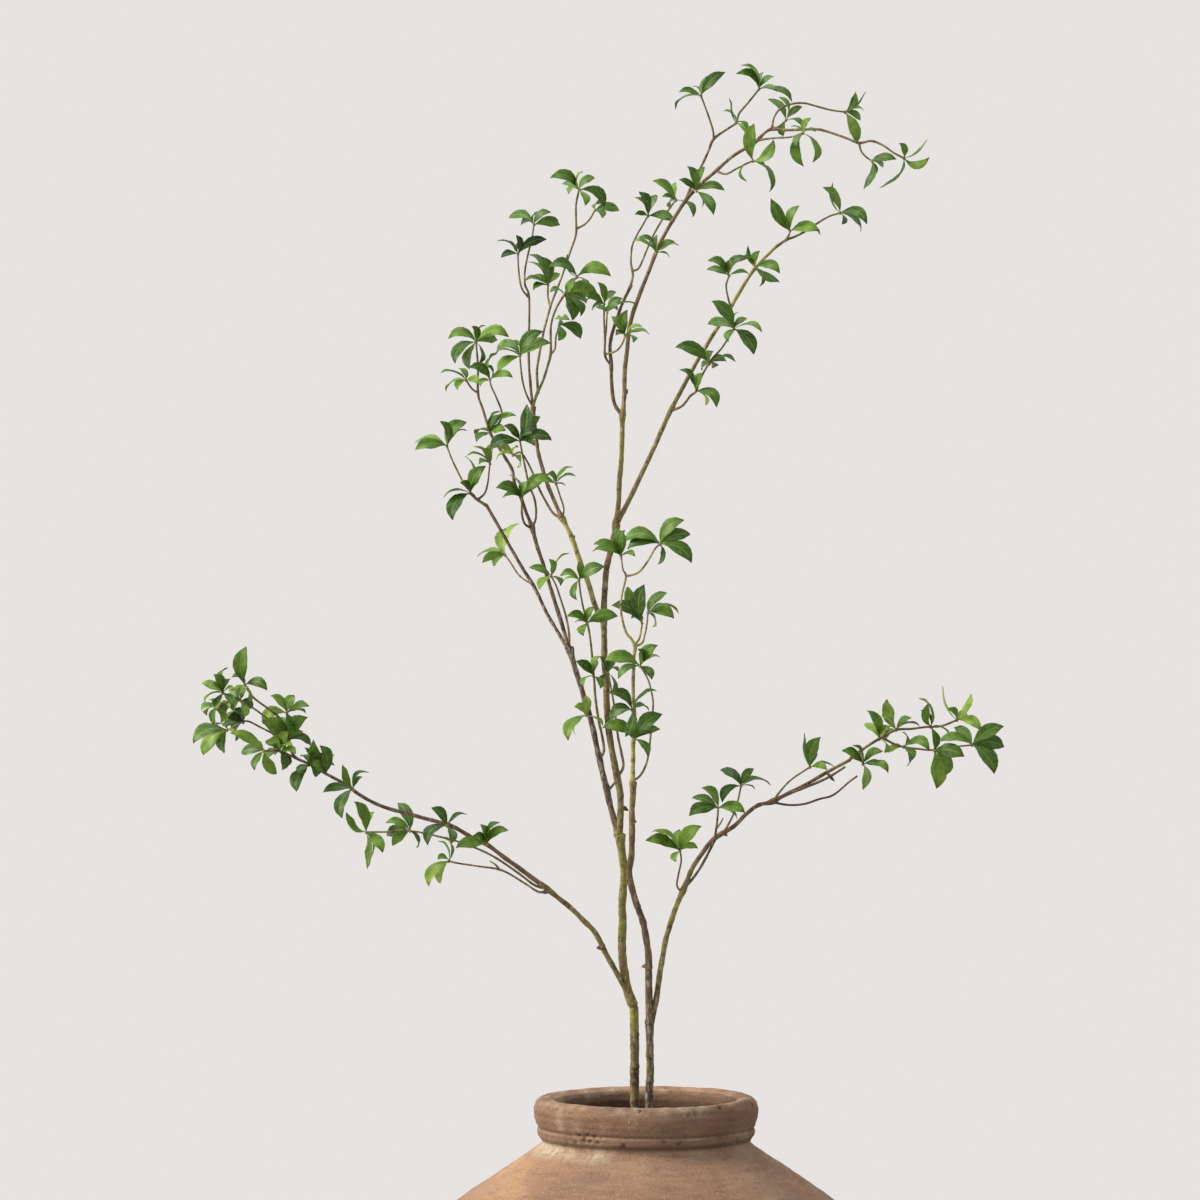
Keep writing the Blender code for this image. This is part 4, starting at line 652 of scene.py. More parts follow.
# Tones of the leaves: 0 dark blue green, 0.5 mid green and 1 light yellow green
LEAF_TONE = 0.47
TONE_SPREAD = 0.2
LIGHTEST = 0.8
SPRAY_LEAF_TONES = {
    "spray_left_olive": 0.85, "spray_inner_left_low": 0.75, "spray_low_left_twig": 0.68,
    "spray_low_right_fork": 0.68, "spray_left_back": 0.64, "spray_left_right_twig": 0.6,
    "spray_far_left": 0.52, "spray_upper_left": 0.5, "spray_upper_left_straight": 0.3,
    "spray_inner_olive": 0.25, "spray_right_stem_high": 0.22, "spray_left_dark": 0.2,
    "spray_low_left_middle": 0.2, "spray_low_right_up": 0.15,
}
WHORL_TONES = {
    (233, 359): 0.72, (311, 377): 0.72, (-337, 332): 0.25, (-403, 375): 0.15, (-128, 844): 0.12,
}

# The grid of one leaf: shares of its length, and how far its ring of points stands across, as a
# share of half its width, and up, in shares of half its width and in millimetres
LEAF_SHARES = np.array([0.0, 0.09, 0.2, 0.33, 0.47, 0.6, 0.72, 0.83, 0.93])
RING_ACROSS = np.array([1.0, 0.5, 0.0, -0.5, -1.0, 0.0])
RING_RISE = np.array([0.2, 0.2, 0.0, 0.2, 0.2, 0.0])
RING_THICKNESS = np.array([0.0, 0.16, 0.0, 0.16, 0.0, -0.62])
UPPER_SIDES = 4
OUTLINE_ROOT = 1.5
OUTLINE_TIP = 1.16
STALK_HALF_WIDTH = 0.5
ROOT_REACH = 0.6

# How uneven a leaf's edges are and from which share of its width, how they wave, how its blade
# twists, and how its tip curls down over the last part of its length and is browned
EDGE_UNEVEN = 0.06
UNEVEN_FROM = 0.3
EDGE_WAVE = 0.06
EDGE_WAVES = 9.0
BLADE_TWIST = 0.12
TIP_CURL = 0.09
CURL_FROM = 0.7
CURL_LENGTH = 0.3
CURL_SPREAD = (0.2, 1.5)
TIP_DROP = 0.8
BROWNED_TIPS = (0.25, 0.6, 0.95, 1.0)

# How broad the leaves of a spray are, as a share of the breadth of their plain solids, if not 1
LEAF_BREADTH = {
    "spray_top_left": 0.76, "spray_top_right": 0.84, "spray_top_middle": 0.8, "spray_top_low": 0.85,
    "spray_top_limb": 0.86, "spray_top_limb_low": 0.84, "spray_short_limb": 0.86, "spray_right_limb_tip": 0.9,
    "spray_upper_left_straight": 0.82, "spray_far_left": 1.1,
}

# Leaves that fill thick whorls, added once the rest are in place: their tips by spray and whorl
FILLING = {
    "spray_far_left": {
        (-423, 404): [(-437, 411), (-414, 391), (-411, 409), (-429, 386)],
        (-405, 397): [(-421, 388), (-398, 411), (-417, 408), (-393, 388)],
        (-403, 375): [(-424, 371), (-411, 389), (-397, 391), (-421, 383), (-414, 364)],
        (-429, 390): [(-424, 375), (-437, 399), (-418, 394)],
        (-357, 357): [(-384, 376), (-365, 382), (-350, 378), (-343, 366), (-373, 341), (-359, 334)],
        (-366, 346): [(-383, 337), (-357, 366), (-353, 352), (-359, 328), (-374, 365)],
        (-337, 332): [(-347, 323), (-321, 343), (-341, 350), (-328, 319)],
        (-320, 324): [(-325, 352), (-330, 345), (-312, 333)],
    },
}

# Colours of a leaf's two sides, from tone 0 to tone 1
UPPER_COLOURS = [(0.0, "#1b3416"), (0.25, "#2c4a12"), (0.5, "#446619"), (0.75, "#6b8a2c"), (1.0, "#9db04a")]
LOWER_COLOURS = [(0.0, "#334c2a"), (0.5, "#5c7a30"), (0.75, "#849c44"), (1.0, "#a9b95e")]

# The floor, in millimetres
FLOOR_RADIUS = 2400.0
FLOOR_DEPTH = 30.0
FLOOR_DROP = 0.5
FLOOR_STEPS = 96

# Studio, in metres and watts
SURROUNDINGS = "#e6e3e1"
KEY_PLACE = (-3.2, -0.5, 2.1)
KEY_SIZE = 1.2
KEY_POWER = 170.0
TOP_PLACE = (-0.4, 0.1, 3.6)
TOP_SIZE = 1.4
TOP_POWER = 50.0


def linear(colour):
    """A hex colour of the screen as the linear red, green, blue and alpha that a shader takes."""
    parts = [int(colour[place:place + 2], 16) / 255 for place in (1, 3, 5)]
    return (*[part / 12.92 if part <= 0.04045 else ((part + 0.055) / 1.055) ** 2.4 for part in parts], 1.0)


def add(tree, kind, inputs=(), stops=(), **settings):
    """Add a node: its settings, its colour stops, and its inputs from values or other nodes."""
    node = tree.nodes.new("ShaderNode" + kind)
    for name, value in settings.items():
        setattr(node, name, value)
    for index, (place, colour) in enumerate(stops):
        elements = node.color_ramp.elements
        element = elements[index] if index < 2 else elements.new(place)
        element.position = place
        element.color = linear(colour)
    for name, value in dict(inputs).items():
        if isinstance(value, bpy.types.NodeSocket):
            tree.links.new(value, node.inputs[name])
        else:
            node.inputs[name].default_value = value
    return node


def start_material(name, labels=()):
    """An empty material, its node tree, the place of each point, and the values that the piece's
    own mesh holds there under these labels."""
    material = bpy.data.materials.new(name)
    material.use_nodes = True
    tree = material.node_tree
    place = add(tree, "TexCoord").outputs["Object"]
    values = [add(tree, "Attribute", attribute_name=label).outputs["Fac"] for label in labels]
    return material, tree, place, *values


def pattern(tree, kind, place, millimetres, **inputs):
    """The value of a texture of this kind, whose features are this many millimetres apart."""
    inputs.update(Vector=place, Scale=1 / MM / millimetres)
    return add(tree, "Tex" + kind, inputs).outputs[0]


def drifting(tree, value, clouds, amount):
    """A value that goes up and down by an amount in all, with clouds that run from 0 to 1."""
    lowest = add(tree, "Math", {0: value, 1: amount / 2}, operation="SUBTRACT").outputs[0]
    return add(tree, "Math", {0: clouds, 1: amount, 2: lowest}, operation="MULTIPLY_ADD").outputs[0]


def coated(tree, body, coats):
    """A body's colour with coats of other colours over it. Each coat has its colour, its amount and
    the value that it follows, with the levels of that value where it is absent and where it is full."""
    for colour, amount, value, absent, full in coats:
        level = add(tree, "MapRange", {"Value": value, "From Min": absent, "From Max": full})
        share = add(tree, "Math", {0: level.outputs["Result"], 1: amount}, operation="MULTIPLY")
        inputs = {"Factor": share.outputs[0], 6: body, 7: linear(colour)}
        body = add(tree, "Mix", inputs, data_type="RGBA").outputs[2]
    return body


def finish_material(material, body, roughness, specular, height=None, strength=0.0, depth=0.0):
    """The material with its colour, its roughness and its gloss, and with fine relief from a height,
    whose depth is in millimetres."""
    tree = material.node_tree
    shader = tree.nodes["Principled BSDF"]
    tree.links.new(body, shader.inputs["Base Color"])
    shader.inputs["Roughness"].default_value = roughness
    shader.inputs["Specular IOR Level"].default_value = specular
    if height is not None:
        bump = add(tree, "Bump", {"Height": height, "Strength": strength, "Distance": depth * MM})
        tree.links.new(bump.outputs["Normal"], shader.inputs["Normal"])
    return material


def terracotta():
    """Weathered terracotta, thrown and wood fired: matt sandy clay that goes from brown to orange tan,
    with brushed streaks round it, pale grit and dark pores. Lime sits in its crease, with a painted
    highlight along the edge above its lip; it is darker in its pits, and painted shade lies on its
    collar, in its groove, under its collar and inside."""
    labels = ("shade", "lime_and_painted_highlight", "dirt_and_painted_shade")
    material, tree, place, shade, lime_and_painted_highlight, dirt_and_painted_shade = start_material("weathered_terracotta", labels)
    flat = add(tree, "Mapping", {"Vector": place, "Scale": (0.1, 0.1, 1.0)}).outputs["Vector"]
    tone_level = pattern(tree, "Noise", place, 90, Detail=5, Roughness=0.55)
    stains = pattern(tree, "Noise", place, 34, Detail=4, Roughness=0.55)
    streaks = pattern(tree, "Noise", flat, 3.6, Detail=4, Roughness=0.6)
    sand = pattern(tree, "Noise", place, 2.2, Detail=3, Roughness=0.75)
    bloom = pattern(tree, "Noise", place, 7, Detail=5, Roughness=0.7)
    grit = pattern(tree, "Voronoi", place, 13)
    pores = pattern(tree, "Voronoi", place, 6.5)
    body = add(tree, "ValToRGB", {"Fac": tone_level}, stops=[
        (0.3, "#735a4b"), (0.43, "#806452"), (0.56, "#8b6d57"), (0.7, "#a07f60")]).outputs["Color"]
    body = coated(tree, body, [
        ("#7a6252", 0.4, stains, 0.52, 0.72),
        ("#a3866b", 0.35, streaks, 0.5, 0.7),
        ("#63493a", 0.3, streaks, 0.46, 0.32),
        ("#c0a078", 0.5, sand, 0.56, 0.74),
        ("#4d382b", 0.5, sand, 0.44, 0.28),
        # painted shade: the collar darker towards the right, away from the key light, and the inside darker
        ("#503c31", 0.75, shade, 0, 1),
        # lime, with a painted highlight along the edge above the lip
        ("#b9ac94", lime_and_painted_highlight, bloom, 0.28, 0.6),
        ("#c4ad8c", 0.45, grit, 0.09, 0.05),
        ("#46342a", 0.6, pores, 0.16, 0.08),
        # darker in the pits, and painted shade in the groove, under the collar and deeper inside
        ("#33241b", 1.0, dirt_and_painted_shade, 0, 1)])
    relief = add(tree, "Math", {0: streaks, 1: 0.9, 2: sand}, operation="MULTIPLY_ADD").outputs[0]
    return finish_material(material, body, 0.92, 0.2, relief, 0.6, 1.4)


def potting_soil():
    """Damp potting soil: near black peat with brown bark and pale grit, quite matt."""
    material, tree, place = start_material("potting_soil")
    lumps = pattern(tree, "Noise", place, 7, Detail=5, Roughness=0.7)
    grit = pattern(tree, "Voronoi", place, 5)
    crumbs = pattern(tree, "Noise", place, 2.2, Detail=4, Roughness=0.7)
    body = add(tree, "ValToRGB", {"Fac": lumps}, stops=[
        (0.32, "#1d150f"), (0.5, "#33251a"), (0.75, "#5a4230")]).outputs["Color"]
    body = coated(tree, body, [("#8d8474", 0.6, grit, 0.2, 0.08)])
    return finish_material(material, body, 0.95, 0.5, crumbs, 0.7, 2.0)


def bark():
    """Young bark: thin and dull, blotched where the skin has aged, with pale crusts on grey wood and
    green growth on some of it."""
    material, tree, place, own, moss, groove = start_material("bark", ("tone", "moss", "groove"))
    along = add(tree, "Mapping", {"Vector": place, "Scale": (1.0, 1.0, 0.3)}).outputs["Vector"]
    weather = pattern(tree, "Noise", place, 14, Detail=4, Roughness=0.65)
    blotches = pattern(tree, "Noise", place, 6.5, Detail=4, Roughness=0.7)
    scales = pattern(tree, "Noise", along, 3.6, Detail=3, Roughness=0.65)
    crusts = pattern(tree, "Noise", along, 2.8, Detail=3, Roughness=0.6)
    tufts = pattern(tree, "Noise", place, 5, Detail=4, Roughness=0.6)
    skin = pattern(tree, "Noise", place, 1.6, Detail=4, Roughness=0.7)
    greyness = add(tree, "MapRange", {"Value": own, "From Min": 0.4, "From Max": 0.1, "To Max": 0.8})
    body = add(tree, "ValToRGB", {"Fac": drifting(tree, own, weather, 1.0)}, stops=[
        (0.0, "#6a6052"), (0.25, "#4c4032"), (0.5, "#6f5a43"), (0.75, "#77703f"), (1.0, "#aaa062")])
    body = coated(tree, body.outputs["Color"], [
        ("#352a1d", 0.7, blotches, 0.5, 0.6),
        ("#b3a685", 0.5, scales, 0.56, 0.66),
        ("#aea596", greyness.outputs["Result"], crusts, 0.52, 0.6),
        ("#94983c", moss, tufts, 0.38, 0.6),
        ("#2e241b", 1.0, groove, 0, 1)])
    return finish_material(material, body, 0.78, 0.3, skin, 0.6, 0.8)


def leaf_skin(name, colours, rib, roughness):
    """One side of a leaf: waxy green skin with a paler midrib and side veins, and a browned tip. The
    veins slant from the midrib towards the tip."""
    material, tree, place, own, browning = start_material(name, ("tone", "browning"))
    blade = add(tree, "UVMap", uv_map="blade").outputs["UV"]
    across, along = add(tree, "SeparateXYZ", {0: blade}).outputs[:2]
    waxy = pattern(tree, "Noise", place, 9, Detail=3, Roughness=0.55)
    body = add(tree, "ValToRGB", {"Fac": drifting(tree, own, waxy, 0.7)}, stops=colours).outputs["Color"]
    side = add(tree, "Math", {0: across, 1: 0.5}, operation="SUBTRACT").outputs[0]
    side = add(tree, "Math", {0: side}, operation="ABSOLUTE").outputs[0]
    slanted = add(tree, "Math", {0: side, 1: -0.45, 2: along}, operation="MULTIPLY_ADD").outputs[0]
    vein = add(tree, "Math", {0: slanted, 1: 0.125}, operation="PINGPONG").outputs[0]
    veins = add(tree, "MapRange", {"Value": vein, "From Min": 0.0225, "From Max": 0.005, "To Max": 0.22})
    midrib = add(tree, "MapRange", {"Value": side, "From Min": 0.06, "From Max": 0.02, "To Max": 0.4})
    both = {0: veins.outputs["Result"], 1: midrib.outputs["Result"]}
    lines = add(tree, "Math", both, operation="MAXIMUM").outputs[0]
    body = coated(tree, body, [
        (rib, 1.0, lines, 0, 1),
        ("#3b2c1c", browning, along, 0.86, 0.99),
        ("#6b7a3a", 0.6, along, 0.16, 0.02)])
    return finish_material(material, body, roughness, 0.28, lines, 0.35, 0.5)


def studio_paint():
    """Pale matt studio paint, with a faint change of tone."""
    material, tree, place = start_material("studio_paint")
    faint = pattern(tree, "Noise", place, 400, Detail=2, Roughness=0.55)
    body = coated(tree, linear("#b3b0ad"), [("#b9b6b4", 1.0, faint, 0, 1)])
    return finish_material(material, body, 0.9, 0.5)


def unit(vectors):
    """Each vector at length one."""
    vectors = np.asarray(vectors, float)
    return vectors / np.linalg.norm(vectors, axis=-1, keepdims=True)


def along_line(points):
    """How far along a line each of its points is."""
    return np.concatenate([[0.0], np.cumsum(np.linalg.norm(np.diff(points, axis=0), axis=1))])


def seen_at(points):
    """Move points of the plan, as (across, depth, up), to where they stand in the model."""
    points = np.asarray(points, float)
    spread = 1.0 + points[..., 1] / VIEW_DISTANCE
    across = VIEW_ACROSS + (points[..., 0] - VIEW_ACROSS) * spread
    up = VIEW_UP + (points[..., 2] - VIEW_UP) * spread
    return np.stack([across, points[..., 1], up + JAR_HEIGHT], axis=-1)


def smooth_line(corners, count):
    """Points on a curve through the corners: each stretch is the cubic that leaves and reaches its
    corners in the direction from the corner before to the corner after."""
    corners = np.asarray(corners, float)
    padded = np.vstack([2 * corners[0] - corners[1], corners, 2 * corners[-1] - corners[-2]])
    places = np.linspace(0, len(corners) - 1, count)
    index = np.minimum(places.astype(int), len(corners) - 2)
    share = (places - index)[:, None]
    before, start, end, after = (padded[index + step] for step in range(4))
    return 0.5 * (2 * start + (end - before) * share
                  + (2 * before - 5 * start + 4 * end - after) * share ** 2
                  + (3 * start - before - 3 * end + after) * share ** 3)


def even_line(points, gap):
    """The points at even distances along a line, close to the gap given."""
    points = np.asarray(points, float)
    travelled = along_line(points)
    places = np.linspace(0, travelled[-1], max(2, int(round(travelled[-1] / gap)) + 1))
    return np.column_stack([np.interp(places, travelled, axis) for axis in points.T])


def random_values(cells, seed):
    """A value from -1 to 1 for each cell, given by its three whole numbers, mixed by shifts."""
    mix = cells[..., 0] * 374761393 + cells[..., 1] * 668265263 + cells[..., 2] * 362437
    mix = mix + seed * 1274126177
    mix = (mix ^ (mix >> 13)) * 1274126177
    return ((mix ^ (mix >> 16)) & 0xFFFF) / 32767.5 - 1.0


def cloud(points, size, seed):
    """A smooth random height from -1 to 1: a random value at each corner of cubes of this size,
    blended across each cube by a smooth step."""
    places = np.asarray(points, float) / size
    low = np.floor(places).astype(np.int64)
    share = places - low
    share = share * share * (3 - 2 * share)
    total = np.zeros(places.shape[:-1])
    for corner in np.ndindex(2, 2, 2):
        weight = np.prod(np.where(corner, share, 1 - share), axis=-1)
        total += weight * random_values(low + np.array(corner), seed)
    return total


def ring_faces(rings, sides):
    """The faces that join each ring of points to the next one, all round."""
    low = np.arange((rings - 1) * sides).reshape(rings - 1, sides)
    following = np.roll(low, -1, axis=1)
    return np.stack([low, following, following + sides, low + sides], axis=-1).reshape(-1, 4).tolist()


def cap_faces(first, point, sides, outward):
    """The triangles that close a ring of points at one point, beyond its end or before its start."""
    ring = [first + side for side in range(sides)]
    pairs = zip(ring, ring[1:] + ring[:1])
    return [(low, high, point) if outward else (high, low, point) for low, high in pairs]


def tube_faces(rings, sides):
    """The faces of a tube of rings, closed past its last ring by the point that follows them all,
    and before its first ring by the point after that."""
    closed_end = cap_faces((rings - 1) * sides, rings * sides, sides, True)
    return ring_faces(rings, sides) + closed_end + cap_faces(0, rings * sides + 1, sides, False)


def joined(shapes):
    """One shape from several: points, faces, values at the points and a material number for each
    face."""
    points, faces, values, slots = [], [], {}, []
    count = 0
    for shape in shapes:
        points.append(shape["points"])
        faces += [[corner + count for corner in face] for face in shape["faces"]]
        slots += list(shape.get("slots", [0] * len(shape["faces"])))
        for name, value in shape["values"].items():
            values.setdefault(name, []).append(np.broadcast_to(value, len(shape["points"])))
        count += len(shape["points"])
    merged = {name: np.concatenate(value) for name, value in values.items()}
    return {"points": np.vstack(points), "faces": faces, "values": merged, "slots": slots}


def new_object(name, data):
    """An object in the scene that shows a mesh, a light or a camera."""
    thing = bpy.data.objects.new(name, data)
    bpy.context.scene.collection.objects.link(thing)
    return thing


def make_piece(name, shape, materials, node):
    """A piece from a shape in millimetres, standing for a node of the model and riding with it. A
    leaf's places across and along its blade become its UV map, and the blade's rims are sharp."""
    mesh = bpy.data.meshes.new(name)
    mesh.from_pydata((shape["points"] * MM).tolist(), [], shape["faces"])
    for material in materials:
        mesh.materials.append(material)
    if "slots" in shape:
        mesh.polygons.foreach_set("material_index", shape["slots"])
    mesh.polygons.foreach_set("use_smooth", np.ones(len(mesh.polygons), bool))
    values = dict(shape["values"])
    if "across" in values:
        corners = np.zeros(len(mesh.loops), np.int32)
        mesh.loops.foreach_get("vertex_index", corners)
        rims = np.isin(values["across"], (0.0, 1.0))
        blade = np.column_stack([values.pop("across")[corners], values.pop("along")[corners]])
        mesh.uv_layers.new(name="blade").data.foreach_set("uv", blade.astype(np.float32).ravel())
        ends = np.zeros(2 * len(mesh.edges), np.int32)
        mesh.edges.foreach_get("vertices", ends)
        mesh.edges.foreach_set("use_edge_sharp", rims[ends.reshape(-1, 2)].all(axis=1))
    for label, value in values.items():
        layer = mesh.attributes.new(label, "FLOAT", "POINT")
        layer.data.foreach_set("value", value.astype(np.float32))
    mesh.update()
    piece = new_object(name, mesh)
    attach(piece, "root")
    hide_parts(node)


def nearest_on(paths, across, up):
    """The point of the paths that is seen nearest to a place, as (across, depth, up)."""
    best = None
    for path in paths:
        for start, end in zip(path[:-1], path[1:]):
            seen_start = np.array([start[0], start[2]])
            seen_run = np.array([end[0], end[2]]) - seen_start
            reach = np.dot(seen_run, seen_run)
            share = np.clip(np.dot(np.array([across, up]) - seen_start, seen_run) / max(reach, 1e-6), 0, 1)
            point = start + share * (end - start)
            distance = math.hypot(point[0] - across, point[2] - up)
            if best is None or distance < best[0]:
                best = (distance, point)
    return best[1]


def thin_path(path):
    """The points of a path that it needs to keep within a small distance of its own course."""
    run = path[-1] - path[0]
    if len(path) < 3:
        return path
    distances = np.linalg.norm(np.cross(path[1:-1] - path[0], run), axis=1) / np.linalg.norm(run)
    farthest = int(np.argmax(distances))
    if distances[farthest] <= STRAIGHT_WITHIN:
        return path[[0, -1]]
    middle = farthest + 1
    return np.vstack([thin_path(path[:middle + 1])[:-1], thin_path(path[middle:])])


def give_depth(places, start_depth, end_depth):
    """The points (across, depth, up) of a limb whose depth changes evenly along it."""
    places = np.asarray(places, float)
    travelled = along_line(places)
    depths = np.interp(travelled, [0, max(travelled[-1], 1e-6)], [start_depth, end_depth])
    return np.column_stack([places[:, 0], depths, places[:, 1]])


def trace_limbs(limbs, trunk_depth):
    """The full points of each limb of a plant, each starting on the thinned limbs before it."""
    full, thin = {}, {}
    for name, (_, _, end_depth, places) in limbs.items():
        start_depth = trunk_depth
        if thin:
            root = nearest_on(thin.values(), *places[0])
            places = [(root[0], root[2])] + places[1:]
            start_depth = root[1]
        full[name] = give_depth(places, start_depth, end_depth)
        thin[name] = thin_path(full[name])
    return full, thin


def trace_twigs(twigs, limb_paths):
    """The full and thinned points of each twig: the first starts on a limb, others on the twigs."""
    full, thin = [], []
    for _, _, end_depth, places in twigs:
        root = nearest_on(thin or limb_paths, *places[0])
        places = [(root[0], root[2])] + places[1:]
        full.append(give_depth(places, root[1], end_depth))
        thin.append(thin_path(full[-1]))
    return full, thin


def beyond_joint(path):
    """The rest of a path after the short stub that its spray grows on and the gap after it."""
    travelled = along_line(path)
    start = STUB_LENGTH + JOINT_GAP
    first = np.array([np.interp(start, travelled, path[:, axis]) for axis in range(3)])
    after = [point for point, length in zip(path, travelled) if length > start + END_MARGIN]
    return np.array([first] + after)


def leaf_curve(hub, tip, arch, from_face):
    """The start, control and end points of a leaf's midrib, and the way that its face looks."""
    run = tip - hub
    seen = math.hypot(run[0], run[2])
    up_side = np.array([-run[2], 0.0, run[0]]) / seen
    if up_side[2] < 0:
        up_side = -up_side
    length = np.linalg.norm(run)
    rise = arch[0] if arch else (BROAD_ARCH if from_face else EDGE_ARCH) * length
    forward = np.array([0.0, -1.0, 0.0])
    control = hub + 0.5 * run + 2 * rise * up_side + FORWARD_BOW * length * forward
    ahead, above = BROAD_FACE if from_face else EDGE_FACE
    return hub, control, hub + run, unit(ahead * forward + above * up_side)


def leaf_frames(curve, shares, roll):
    """At each share of a leaf: its midrib point, its heading, its sideways direction and its face.
    The midrib is the curve that starts towards the control point and ends away from it."""
    start, control, end, face = curve
    share = np.asarray(shares, float)[:, None]
    points = (1 - share) ** 2 * start + 2 * share * (1 - share) * control + share ** 2 * end
    headings = unit(2 * (1 - share) * (control - start) + 2 * share * (end - control))
    faces = unit(face - headings * (headings @ face)[:, None])
    faces = faces * math.cos(roll) + np.cross(faces, headings) * math.sin(roll)
    return points, headings, np.cross(faces, headings), faces


def leaf_marks(curve, width, roll):
    """Points on a leaf's blade, for keeping leaves clear of one another."""
    points, _, sideways, _ = leaf_frames(curve, MARK_SHARES, roll)
    halves = 0.5 * width * np.interp(MARK_SHARES, [0.0, *(place for place, _ in STATIONS), 1.0],
                                     [0.0, *(part for _, part in STATIONS), 0.0])
    parts = np.array([-1.0, -0.5, 0.0, 0.5, 1.0])
    marks = points[:, None] + sideways[:, None] * (halves[:, None] * parts)[..., None]
    return np.column_stack([marks.reshape(-1, 3), np.zeros(marks.size // 3)])


def path_marks(path, start_diameter, end_diameter):
    """Points along a limb or twig, each with its radius, for keeping leaves clear of it."""
    travelled = along_line(path)
    places = np.arange(0, travelled[-1], MARK_SPACING)
    marks = [np.interp(places, travelled, path[:, axis]) for axis in range(3)]
    radii = 0.5 * np.interp(places, [0, travelled[-1]], [start_diameter, end_diameter])
    return np.column_stack([*marks, radii])


def crowding(marks, taken):
    """How far a leaf's marks come too near to the marks that are already taken."""
    gaps = np.linalg.norm(marks[:, None, :3] - taken[None, :, :3], axis=2) - taken[None, :, 3]
    return float(np.sum(np.clip(CLEARANCE - gaps, 0, None) ** 2))


def choose_leaf(hub, lean, tip, from_face, taken, draw):
    """One leaf's curve, width and roll, leaning the way that keeps it clearest of the rest."""
    across, up, *arch = tip
    seen = math.hypot(across - hub[0], up - hub[2])
    longest = max(SLANT * seen, min(FULL_LENGTH, max(SHORTEST_LEAF, SHORT_SLANT * seen)))
    reach = math.sqrt(longest ** 2 - seen ** 2)
    broadness = LEAF_WIDTH * draw.uniform(*WIDTH_SPREAD)
    taken = taken[np.linalg.norm(taken[:, :3] - hub, axis=1) < MARK_REACH]
    best = None
    for way in LEANS[lean]:
        for roll in (draw.uniform(-ROLL, 0), draw.uniform(0, ROLL)):
            curve = leaf_curve(hub, np.array([across, hub[1] + way * reach, up]), arch, from_face)
            width = broadness * math.hypot(seen, way * reach)
            marks = leaf_marks(curve, width, roll)
            crowd = crowding(marks, taken)
            if best is None or crowd < best[0]:
                best = (crowd, curve, width, roll, marks)
    return best[1:]


def leaf_shape(curve, width, roll, tone, finish):
    """One leaf: a ring of six points, the right edge, right half, rib, left half, left edge and the
    rib's underside, carried along the midrib. Half its width is share ** root * (1 - share) ** tip,
    which is broadest past the middle and comes to a point. The blade is folded along its rib, its
    edges wave and are uneven, and its tip curls down."""
    share = LEAF_SHARES
    points, headings, sideways, faces = leaf_frames(curve, share, roll)
    length = np.linalg.norm(curve[2] - curve[0])
    peak = OUTLINE_ROOT / (OUTLINE_ROOT + OUTLINE_TIP)
    outline = (share ** OUTLINE_ROOT * (1 - share) ** OUTLINE_TIP
               / (peak ** OUTLINE_ROOT * (1 - peak) ** OUTLINE_TIP))
    half = np.maximum(0.5 * width * outline, STALK_HALF_WIDTH)
    uneven = np.array([[finish.uniform(-EDGE_UNEVEN, EDGE_UNEVEN) for _ in RING_ACROSS] for _ in share])
    halves = half[:, None] * (1 + uneven * (outline > UNEVEN_FROM)[:, None])
    phase = finish.uniform(0, 2 * math.pi)
    ripple = np.sin(share * EDGE_WAVES + phase)[:, None]
    wave = EDGE_WAVE * width * ripple * (RING_ACROSS ** 2) * outline[:, None]
    twist = finish.uniform(-BLADE_TWIST, BLADE_TWIST) * (share[:, None] * half[:, None]) * RING_ACROSS
    bent = np.clip((share - CURL_FROM) / CURL_LENGTH, 0, 1) ** 2
    curl = TIP_CURL * length * finish.uniform(*CURL_SPREAD) * bent
    rise = RING_RISE * half[:, None] + RING_THICKNESS * (0.5 + 0.5 * outline[:, None]) + wave + twist
    rise = rise - curl[:, None]
    ring = (points[:, None] + sideways[:, None] * (halves * RING_ACROSS)[..., None]
            + faces[:, None] * rise[..., None])
    tip = curve[2] - faces[-1] * TIP_CURL * length * TIP_DROP
    root = curve[0] - headings[0] * ROOT_REACH
    sides = len(RING_ACROSS)
    rings = len(share)
    across = np.concatenate([np.tile(0.5 + 0.5 * RING_ACROSS, rings), [0.5, 0.5]])
    along = np.concatenate([np.repeat(share, sides), [1.0, 0.0]])
    return {"points": seen_at(np.vstack([ring.reshape(-1, 3), tip, root])),
            "faces": tube_faces(rings, sides),
            "slots": [int(side >= UPPER_SIDES) for side in range(sides)] * (rings + 1),
            "values": {"across": across, "along": along, "tone": tone,
                       "browning": finish.choice(BROWNED_TIPS)}}


def spindle(start, end, radius, tone, sides=8, rings=6):
    """A bud or knob: rings round the line between two points, with radii that follow half a sine
    wave, fuller towards the start."""
    shares = np.linspace(*BUD_ENDS, rings)
    radii = radius * np.sin(np.pi * shares ** BUD_FULLNESS)
    heading = unit(end - start)
    side = unit(np.cross(heading, SECTION_GUIDE))
    other = np.cross(heading, side)
    angles = np.arange(sides) * 2 * math.pi / sides
    around = np.cos(angles)[:, None] * side + np.sin(angles)[:, None] * other
    centres = start + (end - start) * shares[:, None]
    ring = centres[:, None] + radii[:, None, None] * around
    return {"points": np.vstack([ring.reshape(-1, 3), end, start]), "faces": tube_faces(rings, sides),
            "values": {"tone": tone, "moss": 0.0, "groove": 0.0}}


